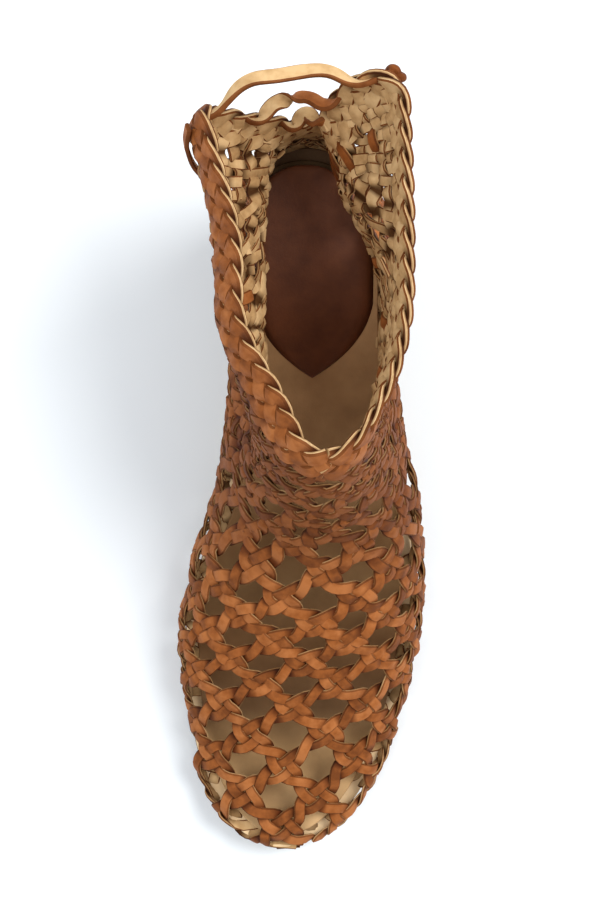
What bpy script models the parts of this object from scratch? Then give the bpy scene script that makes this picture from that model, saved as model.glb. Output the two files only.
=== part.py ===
"""Mid-heel ankle boot of hand-woven leather strips, left foot, standing empty on its sole.

Frame: origin at the centre of the heel's tread on the floor, +Z up, toe towards -Y, outer (lateral)
side of the foot at +X. Every table and size below is in millimetres; meshes are written in metres.

The wall of the upper is one surface, worked out as a fan of flat sections. A section runs from the
ridge, over the toes and up the front of the shaft, to the base, which is the sole's edge and then
the back seam. The weave is laid on that surface in half-period rows (one to a section) and
half-period columns (from the ridge down).
"""
import math

import bmesh
import bpy
import numpy as np

MM = 0.001
GAP = 0.3                 # clearance between neighbouring pieces
MEDIAL, LATERAL = -1, 1   # the two sides of the foot, as signs of X

# Sole
SOLE_THICKNESS = 4.0
TOE_TIP_Y = -210.5
HEEL_BACK_Y = 27.0
TOE_CAP_LENGTH = 80.0     # the outline closes in an ellipse this long at the toe
HEEL_CAP_LENGTH = 28.0
SOLE_STATIONS = 60
# The outline before its ends are rounded: y, x of the middle, half width.
OUTLINE = (
    ("y", "middle_x", "half_width"),
    (-210.5, -6.8, 40.0),
    (-189.0, -5.0, 40.0),
    (-168.0, -3.0, 40.0),
    (-148.0, -1.5, 40.0),
    (-128.0, 0.2, 40.0),
    (-109.0, 2.3, 37.0),
    (-89.0, 4.5, 32.0),
    (-69.0, 5.3, 27.7),
    (-49.0, 4.5, 25.6),
    (-29.0, 2.3, 26.2),
    (-9.0, 0.8, 27.3),
    (27.0, -0.6, 27.5),
)
# Height of the sole's upper face: toe spring, flat tread, arch, heel seat.
SOLE_TOP = (
    ("y", "z"),
    (-211.0, 12.0),
    (-199.0, 9.0),
    (-184.0, 6.0),
    (-166.0, SOLE_THICKNESS),
    (-124.0, SOLE_THICKNESS),
    (-104.0, 9.0),
    (-79.0, 21.5),
    (-49.0, 37.0),
    (-24.0, 49.0),
    (-9.0, 52.2),
    (6.0, 53.0),
    (28.0, 53.0),
)

# Heel
HEEL_BREAST_Y = -27.0     # front of the heel where it meets the sole
HEEL_INSET = 1.4          # heel inside the sole's edge
HEEL_TAPER = 0.84         # tread outline over seat outline
HEEL_WAIST = 0.035        # how far the sides draw in half way down
LIFT_THICKNESS = 5.0
HEEL_LEVELS = 6

# Inside of the shoe
MARGIN_THICKNESS = 1.7    # lower edge of the weave, turned in under the insole
MARGIN_WIDTH = 9.0
INSOLE_THICKNESS = 2.0
INSOLE_INSET = 4.8
INSOLE_LOW = MARGIN_THICKNESS + 3 * GAP   # its underside over the sole's upper face
INSOLE_STATIONS = 44
PAD_THICKNESS = 1.2
PAD_TIP_Y = -48.0
PAD_TIP_X = 2.4
PAD_HALF_WIDTH = 20.0
PAD_TAPER_LENGTH = 34.0
PAD_POINT = 2.9           # 1 is a straight-sided point, and more is rounder
PAD_STATIONS = 20
PAD_INSET = 6.5

# Upper
WALL_THICKNESS = 2.2
WALL_INSET = 1.0          # middle of the wall inside the sole's edge
STRIP_RAISE = 0.5         # strips stand proud of the wall where they cross
COLUMN_PITCH = 12.5       # half a period of the weave, round the foot
SEAM_COLUMNS = 11         # columns from the ridge to the back seam
SEAM_ROW = 23             # the row that reaches the sole's edge at the very back
TOE_ROWS = 2.0            # rows whose width comes from the sole's outline
NODE_REACH_ROW = 0.50     # from a crossing's middle to the edge of its gap, in rows
NODE_REACH_COLUMN = 0.44
BRIDGE_REACH = 0.19       # the same half way between two crossings
THROAT_ROW = 12           # up the front of the shaft the gaps are too narrow to be cut
THROAT_COLUMNS = 3
TOE_OPEN_ROWS = 4         # round the toe the gaps are open down to the sole's edge
# Sections of the wall, front to back. The widths run from the ridge to the widest place on each side;
# crown and tuck are the shares of a section over which it swells from the ridge and draws in to the base.
SECTIONS = (
    ("row", "ridge_x", "ridge_y", "ridge_z", "base_y", "seam_z", "medial", "lateral", "crown", "tuck"),
    (-1.0, -7.0, -210.3, 13.2, -210.2, 53.0, 3.1, 3.5, 0.80, 0.20),
    (0.0, -7.5, -202.5, 19.0, -195.5, 53.0, 22.5, 26.1, 0.80, 0.20),
    (1.0, -7.8, -190.5, 22.8, -184.0, 53.0, 28.2, 34.2, 0.78, 0.25),
    (3.0, -5.5, -168.5, 31.5, -162.5, 53.0, 33.0, 39.6, 0.76, 0.28),
    (5.0, -2.0, -150.0, 40.5, -143.0, 53.0, 39.8, 40.8, 0.74, 0.30),
    (7.0, 2.0, -135.5, 48.5, -124.5, 53.0, 43.1, 39.0, 0.74, 0.30),
    (9.0, 4.6, -121.0, 57.5, -103.5, 53.0, 41.7, 36.4, 0.74, 0.30),
    (11.0, 6.3, -103.0, 71.5, -79.5, 53.0, 36.1, 31.5, 0.74, 0.30),
    (13.0, 5.5, -94.0, 85.0, -55.5, 53.0, 31.6, 26.3, 0.70, 0.30),
    (15.0, 4.5, -87.5, 97.3, -35.0, 53.0, 29.5, 24.5, 0.66, 0.30),
    (18.0, 3.0, -79.0, 113.5, -6.0, 53.0, 30.0, 25.0, 0.62, 0.30),
    (20.0, 2.5, -71.5, 125.5, 13.0, 53.0, 29.5, 26.0, 0.53, 0.30),
    (23.0, 1.5, -61.0, 145.0, 27.0, 53.0, 30.0, 26.5, 0.36, 0.30),
    (26.5, -1.0, -48.0, 181.0, 29.0, 93.5, 29.0, 28.0, 0.36, 0.18),
    (30.0, -4.0, -38.0, 211.4, 32.0, 133.0, 30.0, 28.0, 0.36, 0.10),
)
# The empty shaft is slack: it is pinched at the ankle and its top leans outwards.
SHAFT = (
    ("z", "shift", "squeeze"),
    (53.0, 0.0, 1.00),
    (82.0, 2.6, 0.68),
    (112.0, -2.2, 0.93),
    (130.0, 3.6, 0.84),
)
SHAFT_FRONT_Y = -80.0     # the slack starts behind the front of the shaft
SHAFT_FULL_Y = -52.0
COLLAR_FOLD = 4.5         # the collar folds in over the medial front, between these heights and places
FOLD_Z = (108.0, 127.0)
FOLD_START_Y = (-76.0, -62.0)
FOLD_END_Y = (-58.0, -30.0)
# The medial side of the notch stands over to its own side, the lateral one stands out behind: x, y.
BACK_FLARE = {MEDIAL: (-7.0, 0.0), LATERAL: (0.5, 6.5)}
FLARE_Z = (90.0, 128.0)
FLARE_Y = (-20.0, 25.0)
HOLLOW = {MEDIAL: 2.5, LATERAL: 11.5}        # the walls sag in behind the ankle, mostly the lateral one
HOLLOW_START_Z = (59.5, 79.0)
HOLLOW_END_Z = (94.0, 124.0)
HOLLOW_Y = (-20.0, 12.0)
HOLLOW_OFF = 18.5                            # it is full at this distance from the seam

# Collar and the notch down its back
RIM_FRONT = (-71.5, 125.0)   # y, z
RIM_BACK = (32.0, 133.0)
BAND_WIDTH = 13.0
BAND_THICKNESS = 3.4
BAND_STEP = 7.5
BAND_TURN = 7.5              # radius of the band's middle line at the corners of the notch
NOTCH_DEPTH = 50.0
NOTCH_MEDIAL = 22.0          # from the seam to the notch's edge, along the rim
NOTCH_LATERAL = 13.0
NOTCH_TOOL_Y = -12.0         # the notch is cut through the back wall only, from here on
BEYOND = 80.0                # the cutters reach this far past what they cut

# Laces: three flat strips across the notch, each held by a stopper knot outside the lateral band
LACE_WIDTH = 4.4
LACE_THICKNESS = 1.3
LACE_GAP = 2.1               # clearance between the curved band and the flat, seated end of a lace
LACE_STATIONS = 11
LACE_SEAT = 8.0              # the length at each end that lies along a band's inner face
LACE_TILT = 62.0             # degrees by which a lace turns its face up half way across
LACES = (
    ("medial_drop", "lateral_drop", "bulge", "rise"),
    (8.0, 8.0, 3.0, 7.0),
    (29.0, 20.0, 3.0, 3.0),
    (40.0, 31.0, 1.5, 1.0),
)
LACE_NAMES = ("top", "middle", "low")
STOP_SIZE = (7.0, 5.6, 6.2)  # along the rim, off the wall and down
KNOT_SIZE = (6.4, 5.6, 8.0)
# The free ends outside the medial band: places on the unrolled collar and how far they stand off the wall.
TAIL_DIAMETER = 2.6
TAIL_STEP = 6.0
TAILS = {
    "top": (
        ("around", "drop", "off"),
        (-29.5, 9.0, 3.3),
        (-31.5, 12.5, 3.4),
        (-34.0, 19.0, 3.4),
        (-37.0, 28.0, 3.5),
        (-39.0, 37.0, 3.8),
        (-39.5, 45.0, 6.2),
    ),
    "low": (
        ("around", "drop", "off"),
        (-18.0, 30.0, 3.6),
        (-20.5, 33.0, 4.6),
        (-24.0, 39.0, 4.2),
        (-27.5, 46.0, 3.6),
        (-29.5, 52.0, 3.8),
        (-30.5, 58.0, 4.9),
    ),
}


def table(rows):
    """The rows as a dictionary of named columns."""
    return dict(zip(rows[0], np.array(rows[1:], float).T))


def curve(rows, along, name):
    """A smooth function through one column of a table, which never overshoots its values."""
    columns = table(rows)
    xs, ys = columns[along], columns[name]
    rises = np.diff(ys) / np.diff(xs)
    same = rises[:-1] * rises[1:] > 0
    inner = np.where(same, 2 * rises[:-1] * rises[1:] / np.where(same, rises[:-1] + rises[1:], 1), 0)
    slopes = np.concatenate([rises[:1], inner, rises[-1:]])

    def at(x):
        x = np.clip(x, xs[0], xs[-1])
        k = np.clip(np.searchsorted(xs, x, side="right") - 1, 0, len(xs) - 2)
        step = xs[k + 1] - xs[k]
        u = (x - xs[k]) / step
        return (
            (1 + 2 * u) * (1 - u) ** 2 * ys[k]
            + u * (1 - u) ** 2 * step * slopes[k]
            + u * u * (3 - 2 * u) * ys[k + 1]
            + u * u * (u - 1) * step * slopes[k + 1]
        )

    return at


def ease(x, start, end):
    """0 before start, 1 after end, smooth between."""
    u = np.clip((x - start) / (end - start), 0, 1)
    return u * u * (3 - 2 * u)


SECTION = {name: curve(SECTIONS, "row", name) for name in SECTIONS[0][1:]}
MIDDLE_X = curve(OUTLINE, "y", "middle_x")
HALF_WIDTH = curve(OUTLINE, "y", "half_width")
SOLE_TOP_Z = curve(SOLE_TOP, "y", "z")
SHAFT_SHIFT = curve(SHAFT, "z", "shift")
SHAFT_SQUEEZE = curve(SHAFT, "z", "squeeze")


def sole_x(y, side, inset=0.0):
    """X of the sole's edge at y, drawn in by inset."""
    toe = np.clip((TOE_TIP_Y + TOE_CAP_LENGTH - y) / (TOE_CAP_LENGTH - inset), 0, 1)
    heel = np.clip((y - HEEL_BACK_Y + HEEL_CAP_LENGTH) / (HEEL_CAP_LENGTH - inset), 0, 1)
    half = (HALF_WIDTH(y) - inset) * np.sqrt(1 - toe**2) * np.sqrt(1 - heel**2)
    return MIDDLE_X(y) + side * half


def wall_point(row, t, side):
    """A point of the wall's middle surface, at the share t of the way from the ridge to the base."""
    at = {name: get(row) for name, get in SECTION.items()}
    base_x = np.where(row < SEAM_ROW, np.abs(sole_x(at["base_y"], side, WALL_INSET) - at["ridge_x"]), 0)
    broad = at["medial"] if side == MEDIAL else at["lateral"]
    broad = base_x + 1 + (broad - base_x - 1) * ease(row, 0, TOE_ROWS)
    edge = np.clip(base_x / broad, 0, 1)
    swell = np.sqrt(1 - (1 - np.clip(t / at["crown"], 0, 1)) ** 2)
    draw = np.sqrt(1 - (1 - edge**2) * (1 - np.clip((1 - t) / at["tuck"], 0, 1)) ** 2)
    base_z = np.where(row < SEAM_ROW, SOLE_TOP_Z(at["base_y"]), at["seam_z"])
    y = at["ridge_y"] + (at["base_y"] - at["ridge_y"]) * t
    z = at["ridge_z"] + (base_z - at["ridge_z"]) * t
    slack = ease(y, SHAFT_FRONT_Y, SHAFT_FULL_Y)
    squeeze = 1 + (SHAFT_SQUEEZE(z) - 1) * slack
    fold = COLLAR_FOLD * ease(z, *FOLD_Z) * ease(y, *FOLD_START_Y) * (1 - ease(y, *FOLD_END_Y))
    flare = ease(z, *FLARE_Z) * ease(y, *FLARE_Y)
    shift = SHAFT_SHIFT(z) * slack + BACK_FLARE[side][0] * flare
    reach = broad * swell * draw * squeeze
    hollow = HOLLOW[side] * ease(z, *HOLLOW_START_Z) * (1 - ease(z, *HOLLOW_END_Z)) * ease(y, *HOLLOW_Y)
    reach = reach - hollow * ease(reach, 0, HOLLOW_OFF)
    x = at["ridge_x"] + side * reach + shift + (fold if side == MEDIAL else 0)
    return np.stack(np.broadcast_arrays(x, y + BACK_FLARE[side][1] * flare, z), axis=-1)


def section_length(row, side, samples=60):
    """Shares t along a section and the distance of each from the ridge."""
    t = np.sin(np.linspace(0, math.pi / 2, samples)) ** 2
    points = wall_point(row, t, side)
    steps = np.linalg.norm(np.diff(points, axis=0), axis=1)
    return t, np.concatenate([[0], np.cumsum(steps)])


def weave_point(row, column):
    """The wall's middle surface at a place of the weave. Past the back seam a column goes on up the other
    side, and past the sole's edge it runs straight down, to be cut off there."""
    if row >= SEAM_ROW and abs(column) > SEAM_COLUMNS:
        column -= math.copysign(2 * SEAM_COLUMNS, column)
    side = MEDIAL if column < 0 else LATERAL
    t, along = section_length(row, side)
    to_seam = ease(row, SEAM_ROW - 5, SEAM_ROW)
    pitch = COLUMN_PITCH + (along[-1] / SEAM_COLUMNS - COLUMN_PITCH) * to_seam
    distance = abs(column) * pitch
    if distance <= along[-1]:
        return wall_point(row, np.interp(distance, along, t), side)
    return wall_point(row, 1.0, side) - np.array([0, 0, distance - along[-1]])


def rim_z(y, drop=0.0):
    """Height of the line that lies drop below the collar's rim."""
    slope = (RIM_BACK[1] - RIM_FRONT[1]) / (RIM_BACK[0] - RIM_FRONT[0])
    return RIM_FRONT[1] - drop + slope * (y - RIM_FRONT[0])


def level_line(drop, side, samples=80):
    """The wall's points drop below the rim, from the back seam to the front of the throat."""
    rows = np.linspace(THROAT_ROW, SECTIONS[-1][0], 600)
    ridge_y, ridge_z = SECTION["ridge_y"](rows), SECTION["ridge_z"](rows)
    base_y = SECTION["base_y"](rows)
    base_z = np.where(rows < SEAM_ROW, SOLE_TOP_Z(base_y), SECTION["seam_z"](rows))
    over = ridge_z - rim_z(ridge_y, drop)
    under = base_z - rim_z(base_y, drop)
    front = np.interp(0, over, rows)
    back = np.interp(0, under, rows)
    u = np.linspace(0, math.pi, samples)
    rows_on = back + (front - back) * (1 - np.cos(u)) / 2
    over_on, under_on = np.interp(rows_on, rows, over), np.interp(rows_on, rows, under)
    share = over_on / (over_on - under_on)
    points = np.array([wall_point(r, np.clip(s, 0, 1), side) for r, s in zip(rows_on, share)])
    steps = np.linalg.norm(np.diff(points, axis=0), axis=1)
    return np.concatenate([[0], np.cumsum(steps)]), points


class Collar:
    """The top of the shaft, unrolled: around runs along the rim from the back seam (lateral side positive,
    the throat's middle at both ends), drop runs down from the rim."""

    def __init__(self, deepest, step=3.0):
        self.drops = np.arange(-2 * step, deepest + step, step)
        self.lines = {side: [level_line(d, side) for d in self.drops] for side in (MEDIAL, LATERAL)}
        middle = np.searchsorted(self.drops, BAND_WIDTH / 2)
        self.reach = {side: self.lines[side][middle][0][-1] for side in (MEDIAL, LATERAL)}

    def point(self, around, drop):
        """The wall's middle surface there."""
        side = MEDIAL if around < 0 else LATERAL
        share = abs(around) / self.reach[side]
        k = int(np.clip((drop - self.drops[0]) / (self.drops[1] - self.drops[0]), 0, len(self.drops) - 2))
        ends = []
        for along, points in self.lines[side][k : k + 2]:
            ends.append([np.interp(share * along[-1], along, points[:, axis]) for axis in range(3)])
        u = (drop - self.drops[k]) / (self.drops[1] - self.drops[0])
        return np.array(ends[0]) * (1 - u) + np.array(ends[1]) * u

    def outward(self, around, drop):
        """The wall's outward normal there."""
        over = self.point(around + 1.5, drop) - self.point(around - 1.5, drop)
        down = self.point(around, drop + 1.5) - self.point(around, drop - 1.5)
        normal = np.cross(over, down)
        return normal / np.linalg.norm(normal)


def rounded_path(corners, radii, step):
    """Points along the polyline with its inner corners rounded, evenly spaced."""
    points = [np.array(corners[0], float)]
    for before, corner, after, radius in zip(corners, corners[1:], corners[2:], radii):
        a, b, c = (np.array(p, float) for p in (before, corner, after))
        to_a, to_c = (a - b) / np.linalg.norm(a - b), (c - b) / np.linalg.norm(c - b)
        half = math.acos(np.clip(to_a @ to_c, -1, 1)) / 2
        start, end = b + to_a * radius / math.tan(half), b + to_c * radius / math.tan(half)
        middle = (to_a + to_c) / np.linalg.norm(to_a + to_c) * radius / math.sin(half) + b
        for u in np.linspace(0, 1, 10):
            chord = start + (end - start) * u - middle
            points.append(middle + chord / np.linalg.norm(chord) * radius)
    points.append(np.array(corners[-1], float))
    points = np.array(points)
    along = np.concatenate([[0], np.cumsum(np.linalg.norm(np.diff(points, axis=0), axis=1))])
    count = round(along[-1] / step)
    at = np.linspace(0, along[-1], count + 1)
    return np.stack([np.interp(at, along, points[:, axis]) for axis in range(2)], axis=1)


def new_collection(name):
    collection = bpy.data.collections.new(name)
    bpy.context.scene.collection.children.link(collection)
    return collection


def material(name, color, roughness):
    made = bpy.data.materials.new(name)
    made.use_nodes = True
    shader = made.node_tree.nodes["Principled BSDF"]
    shader.inputs["Base Color"].default_value = (*color, 1)
    shader.inputs["Roughness"].default_value = roughness
    shader.inputs["Metallic"].default_value = 0
    return made


def add_mesh(name, points, faces, collection, finish=None, weld=True):
    """An object from points in millimetres, with its faces turned outwards."""
    mesh = bpy.data.meshes.new(name)
    mesh.from_pydata([tuple(float(c) * MM for c in p) for p in points], [], faces)
    made = bpy.data.objects.new(name, mesh)
    collection.objects.link(made)
    work = bmesh.new()
    work.from_mesh(mesh)
    if weld:
        bmesh.ops.remove_doubles(work, verts=work.verts, dist=1e-3 * MM)
    bmesh.ops.recalc_face_normals(work, faces=work.faces)
    work.to_mesh(mesh)
    work.free()
    if finish:
        mesh.materials.append(finish)
    return made


def loft(name, sections, collection, finish=None, ring=False, caps=True):
    """A body through sections that are closed loops of equally many points; a ring joins last to first."""
    count = len(sections[0])
    points = [p for section in sections for p in section]
    faces = []
    for k in range(len(sections) if ring else len(sections) - 1):
        a, b = k * count, (k + 1) % len(sections) * count
        faces += [(a + i, a + (i + 1) % count, b + (i + 1) % count, b + i) for i in range(count)]
    if caps and not ring:
        faces += [tuple(range(count)), tuple(len(points) - 1 - i for i in range(count))]
    return add_mesh(name, points, faces, collection, finish)


def settle(target):
    """Makes what the modifiers give the object's own mesh."""
    graph = bpy.context.evaluated_depsgraph_get()
    graph.update()
    mesh = bpy.data.meshes.new_from_object(target.evaluated_get(graph))
    target.modifiers.clear()
    target.data = mesh


def cut(target, tool, operation="DIFFERENCE"):
    """Applies a Boolean and removes the tool. The weave's ends cross under the sole before they are cut off,
    which the EXACT solver can't take."""
    modifier = target.modifiers.new(operation.title(), "BOOLEAN")
    modifier.solver = "MANIFOLD"
    modifier.operation = operation
    modifier.object = tool
    settle(target)
    bpy.data.objects.remove(tool)


def solidify(target, thickness):
    """Gives an open surface its thickness, half to each side."""
    modifier = target.modifiers.new("Thickness", "SOLIDIFY")
    modifier.thickness = thickness * MM
    modifier.offset = 0
    modifier.use_even_offset = True
    settle(target)


def stations(start, end, count=SOLE_STATIONS):
    """Places along Y, closer together towards the rounded ends."""
    u = (1 - np.cos(np.linspace(0, math.pi, count))) / 2
    return start + (end - start) * u


def plate(name, inset, low, high, collection, finish, count=SOLE_STATIONS):
    """A layer of the sole, between two heights over the sole's upper face."""
    ys = stations(TOE_TIP_Y + inset, HEEL_BACK_Y - inset, count)
    sections = []
    for y in ys:
        left, right = sole_x(y, MEDIAL, inset), sole_x(y, LATERAL, inset)
        bottom, top = SOLE_TOP_Z(y) + low, SOLE_TOP_Z(y) + high
        sections.append([(left, y, bottom), (right, y, bottom), (right, y, top), (left, y, top)])
    return loft(name, sections, collection, finish)


def sole_edge(inset, count=96):
    """Points round the sole's edge, drawn in by inset."""
    half = stations(TOE_TIP_Y + inset, HEEL_BACK_Y - inset, count // 2 + 1)
    lateral = [(sole_x(y, LATERAL, inset), y) for y in half]
    medial = [(sole_x(y, MEDIAL, inset), y) for y in half[-2:0:-1]]
    return lateral + medial


def lasting_margin(collection):
    """The lower edge of the weave, turned in between sole and insole."""
    outer, inner = sole_edge(WALL_INSET - 0.2), sole_edge(MARGIN_WIDTH)
    sections = []
    for (ox, oy), (ix, iy) in zip(outer, inner):
        out_z, in_z = SOLE_TOP_Z(oy) + GAP, SOLE_TOP_Z(iy) + GAP
        rise = MARGIN_THICKNESS
        sections.append([(ox, oy, out_z), (ox, oy, out_z + rise), (ix, iy, in_z + rise), (ix, iy, in_z)])
    return loft("margin", sections, collection, ring=True)


def places_round(row, column, to_row, to_column, to_bridge):
    """Eight places round a cell's middle: towards its four crossings and, between them, four bridges."""
    places = []
    for quarter in range(4):
        down, over = round(math.cos(quarter * math.pi / 2)), round(math.sin(quarter * math.pi / 2))
        places.append((row + down * to_row, column + over * to_column))
        places.append((row + (down - over) * to_bridge, column + (down + over) * to_bridge))
    return places


def gap_corners(row, column):
    """The places round a gap's cell: the crossings' and bridges' own middles."""
    return places_round(row, column, 1, 1, 0.5)


def gap_edge(row, column):
    """The places round the gap itself."""
    return places_round(row, column, 1 - NODE_REACH_ROW, 1 - NODE_REACH_COLUMN, 0.5 - BRIDGE_REACH)


def weave_cells():
    """Rows and columns of the weave's cells that lie on the wall, each with whether its gap is open. A cell
    that the sole or the collar cuts through is closed, as are the narrow ones up the front of the shaft."""
    cells = []
    last_row = int(SECTIONS[-1][0])
    for row in range(0, last_row):
        for column in range(-SEAM_COLUMNS - 3, SEAM_COLUMNS + 4):
            if (row + column) % 2 == 0:
                continue
            if row >= SEAM_ROW and not -SEAM_COLUMNS < column <= SEAM_COLUMNS:
                continue
            if row == SEAM_ROW - 1 and abs(column) > SEAM_COLUMNS:
                continue
            corners = [weave_point(r, c) for r, c in gap_corners(row, column)]
            above_sole = [p[2] - SOLE_TOP_Z(p[1]) for p in corners]
            below_band = [rim_z(p[1], BAND_WIDTH / 2) - p[2] for p in corners]
            if max(above_sole) < MARGIN_THICKNESS or max(below_band) < 0:
                continue
            whole = min(above_sole) > -MARGIN_THICKNESS and min(below_band) > BAND_WIDTH / 2
            narrow = row >= THROAT_ROW and abs(column) <= THROAT_COLUMNS
            cells.append((row, column, (whole or row <= TOE_OPEN_ROWS) and not narrow))
    return cells


def woven_wall(collection):
    """The weave as one wall: a ring of faces round every gap, raised along the strips."""
    points, faces, index, raised = [], [], {}, set()

    def vertex(place, on_strip=False, only_shared=False):
        point = weave_point(*place)
        key = tuple(np.round(point, 2))
        if key not in index:
            if only_shared:
                return None
            index[key] = len(points)
            points.append(point)
        if on_strip:
            raised.add(index[key])
        return index[key]

    for row, column, is_open in sorted(weave_cells(), key=lambda cell: not cell[2]):
        places = gap_corners(row, column)
        if is_open:
            outer = [vertex(place, True) for place in places]
            inner = [vertex(place) for place in gap_edge(row, column)]
        else:
            # up the flat front of the shaft a bridge between two closed cells needs no point of its own
            front = abs(column) <= THROAT_COLUMNS + 1
            outer = [vertex(place, True, only_shared=front and k % 2 == 1) for k, place in enumerate(places)]
            outer = [v for v in outer if v is not None]
            inner = [vertex((row, column))] * len(outer)
        for k in range(len(outer)):
            n = (k + 1) % len(outer)
            faces.append(tuple(dict.fromkeys((outer[k], outer[n], inner[n], inner[k]))))
    wall = add_mesh("wall", points, faces, collection, weld=False)
    mesh = wall.data
    foremost = min(mesh.vertices, key=lambda v: v.co.y)
    outward = 1 if foremost.normal.y < 0 else -1
    lift = {i: mesh.vertices[i].normal * outward * STRIP_RAISE * MM for i in raised}
    for i, by in lift.items():
        mesh.vertices[i].co += by
    solidify(wall, WALL_THICKNESS)
    return wall


def below_sole_tool(collection):
    """Everything under the middle of the lasting margin."""
    ys = np.linspace(TOE_TIP_Y - BEYOND, HEEL_BACK_Y + BEYOND, 2 * SOLE_STATIONS)
    sections = []
    for y in ys:
        z = SOLE_TOP_Z(y) + GAP + MARGIN_THICKNESS / 2
        sections.append([(-BEYOND, y, z - BEYOND), (BEYOND, y, z - BEYOND), (BEYOND, y, z), (-BEYOND, y, z)])
    return loft("below_sole", sections, collection)


def above_band_tool(collection):
    """Everything over the middle of the collar band, from in front of the throat to behind the heel."""
    sections = []
    for y in (RIM_FRONT[0] - BEYOND / 3, RIM_BACK[0] + BEYOND):
        z = rim_z(y, BAND_WIDTH / 2)
        top = z + 2 * BEYOND
        sections.append([(-BEYOND, y, z), (BEYOND, y, z), (BEYOND, y, top), (-BEYOND, y, top)])
    return loft("above_band", sections, collection)


def band_path(step):
    """The middle of the collar band on the unrolled collar: from the throat's middle along the lateral rim,
    down and up the notch, and along the medial rim to the throat again."""
    half = BAND_WIDTH / 2
    corners = (
        (COLLAR.reach[LATERAL], half),
        (NOTCH_LATERAL + half + 2, half),
        (0, NOTCH_DEPTH + 2 * half),
        (-NOTCH_MEDIAL - half - 2, half),
        (-COLLAR.reach[MEDIAL], half),
    )
    return rounded_path(corners, (BAND_TURN, BAND_TURN, BAND_TURN), step)


def band_frames(step):
    """For each place of the band's path: the wall's point, the direction across the band and the normal."""
    path = band_path(step)[:-1]
    frames = []
    for k, (around, drop) in enumerate(path):
        before, after = path[max(k - 1, 0)], path[min(k + 1, len(path) - 1)]
        way = (after - before) / np.linalg.norm(after - before)
        across = np.array([-way[1], way[0]])
        frames.append((np.array([around, drop]), across))
    return frames


def collar_band(collection):
    """The plaited border of the opening, as a thicker band of the wall that closes on itself."""
    offsets = (-BAND_WIDTH / 2, -BAND_WIDTH / 4, BAND_WIDTH / 4, BAND_WIDTH / 2)
    half = BAND_THICKNESS / 2
    swell = (0.75, 1.0, 1.0, 0.75)
    sections = []
    for place, across in band_frames(BAND_STEP):
        outside, inside = [], []
        for offset, share in zip(offsets, swell):
            around, drop = place + across * offset
            point, normal = COLLAR.point(around, drop), COLLAR.outward(around, drop)
            outside.append(point + normal * half * share)
            inside.append(point - normal * half * share)
        sections.append(outside + inside[::-1])
    return loft("band", sections, collection, ring=True)


def notch_tool(collection):
    """A wedge along Y through the back wall, inside the band's middle line."""
    half = BAND_WIDTH / 2
    path = [p for p in band_path(3.0) if abs(p[0]) < NOTCH_MEDIAL + BAND_WIDTH and p[1] > half + 0.5]
    edge = [COLLAR.point(*p) for p in path]
    profile = [(p[0], p[2]) for p in edge]
    top = RIM_BACK[1] + BEYOND
    profile = [(profile[0][0], top)] + profile + [(profile[-1][0], top)]
    sections = [[(x, y, z) for x, z in profile] for y in (NOTCH_TOOL_Y, HEEL_BACK_Y + BEYOND)]
    return loft("notch", sections, collection)


def upper(collection, tools, finish):
    """The whole upper: woven wall, collar band and lasting margin as one solid."""
    wall = woven_wall(collection)
    cut(wall, below_sole_tool(tools))
    cut(wall, above_band_tool(tools))
    cut(wall, notch_tool(tools))
    cut(wall, lasting_margin(tools), "UNION")
    cut(wall, collar_band(tools), "UNION")
    wall.name = wall.data.name = "upper"
    wall.data.materials.clear()
    wall.data.materials.append(finish)
    return wall


def heel_outline(share, count=15):
    """The heel's outline on the plan, from the breast's medial corner round the back to its lateral corner.
    share is 0 at the seat and 1 at the tread."""
    scale = 1 - (1 - HEEL_TAPER) * share - HEEL_WAIST * math.sin(math.pi * share)
    end = HEEL_BACK_Y - HEEL_INSET
    u = np.sin(np.linspace(0, math.pi / 2, count))
    ys = HEEL_BREAST_Y + (end - HEEL_BREAST_Y) * u
    medial = [(sole_x(y, MEDIAL, HEEL_INSET), y) for y in ys]
    lateral = [(sole_x(y, LATERAL, HEEL_INSET), y) for y in ys[-2::-1]]
    return [(x * scale, y * scale) for x, y in medial + lateral]


def heel_block(collection, finish):
    """The stacked block, its top following the underside of the sole."""
    sections = []
    for level in np.linspace(1, 0, HEEL_LEVELS):
        section = []
        for x, y in heel_outline(level):
            top = SOLE_TOP_Z(y) - SOLE_THICKNESS - GAP
            low = LIFT_THICKNESS + GAP
            section.append((x, y, low + (top - low) * (1 - level)))
        sections.append(section)
    return loft("heel_block", sections, collection, finish)


def heel_lift(collection, finish):
    """The top piece that meets the floor."""
    outline = heel_outline(1.0)
    sections = [[(x, y, z) for x, y in outline] for z in (0.0, LIFT_THICKNESS)]
    return loft("heel_lift", sections, collection, finish)


def heel_pad(collection, finish):
    """The dark sock under the heel, with a pointed front."""
    ys = stations(PAD_TIP_Y, HEEL_BACK_Y - PAD_INSET, PAD_STATIONS)
    sections = []
    for y in ys:
        taper = max(0.0, 1 - (y - PAD_TIP_Y) / PAD_TAPER_LENGTH)
        half = PAD_HALF_WIDTH * (1 - taper**PAD_POINT)
        left = max(PAD_TIP_X - half, sole_x(y, MEDIAL, PAD_INSET))
        right = min(PAD_TIP_X + half, sole_x(y, LATERAL, PAD_INSET))
        low = SOLE_TOP_Z(y) + INSOLE_LOW + INSOLE_THICKNESS + GAP
        high = low + PAD_THICKNESS
        sections.append([(left, y, low), (right, y, low), (right, y, high), (left, y, high)])
    return loft("heel_pad", sections, collection, finish)


def lace_anchor(side, drop):
    """The middle of the band beside the notch, at this drop, as a place on the unrolled collar."""
    path = band_path(BAND_STEP / 4)
    path = path[(np.sign(path[:, 0]) == side) & (path[:, 1] > BAND_WIDTH / 2 + 0.1)]
    return path[np.argmin(np.abs(path[:, 1] - drop)), 0]


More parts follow.
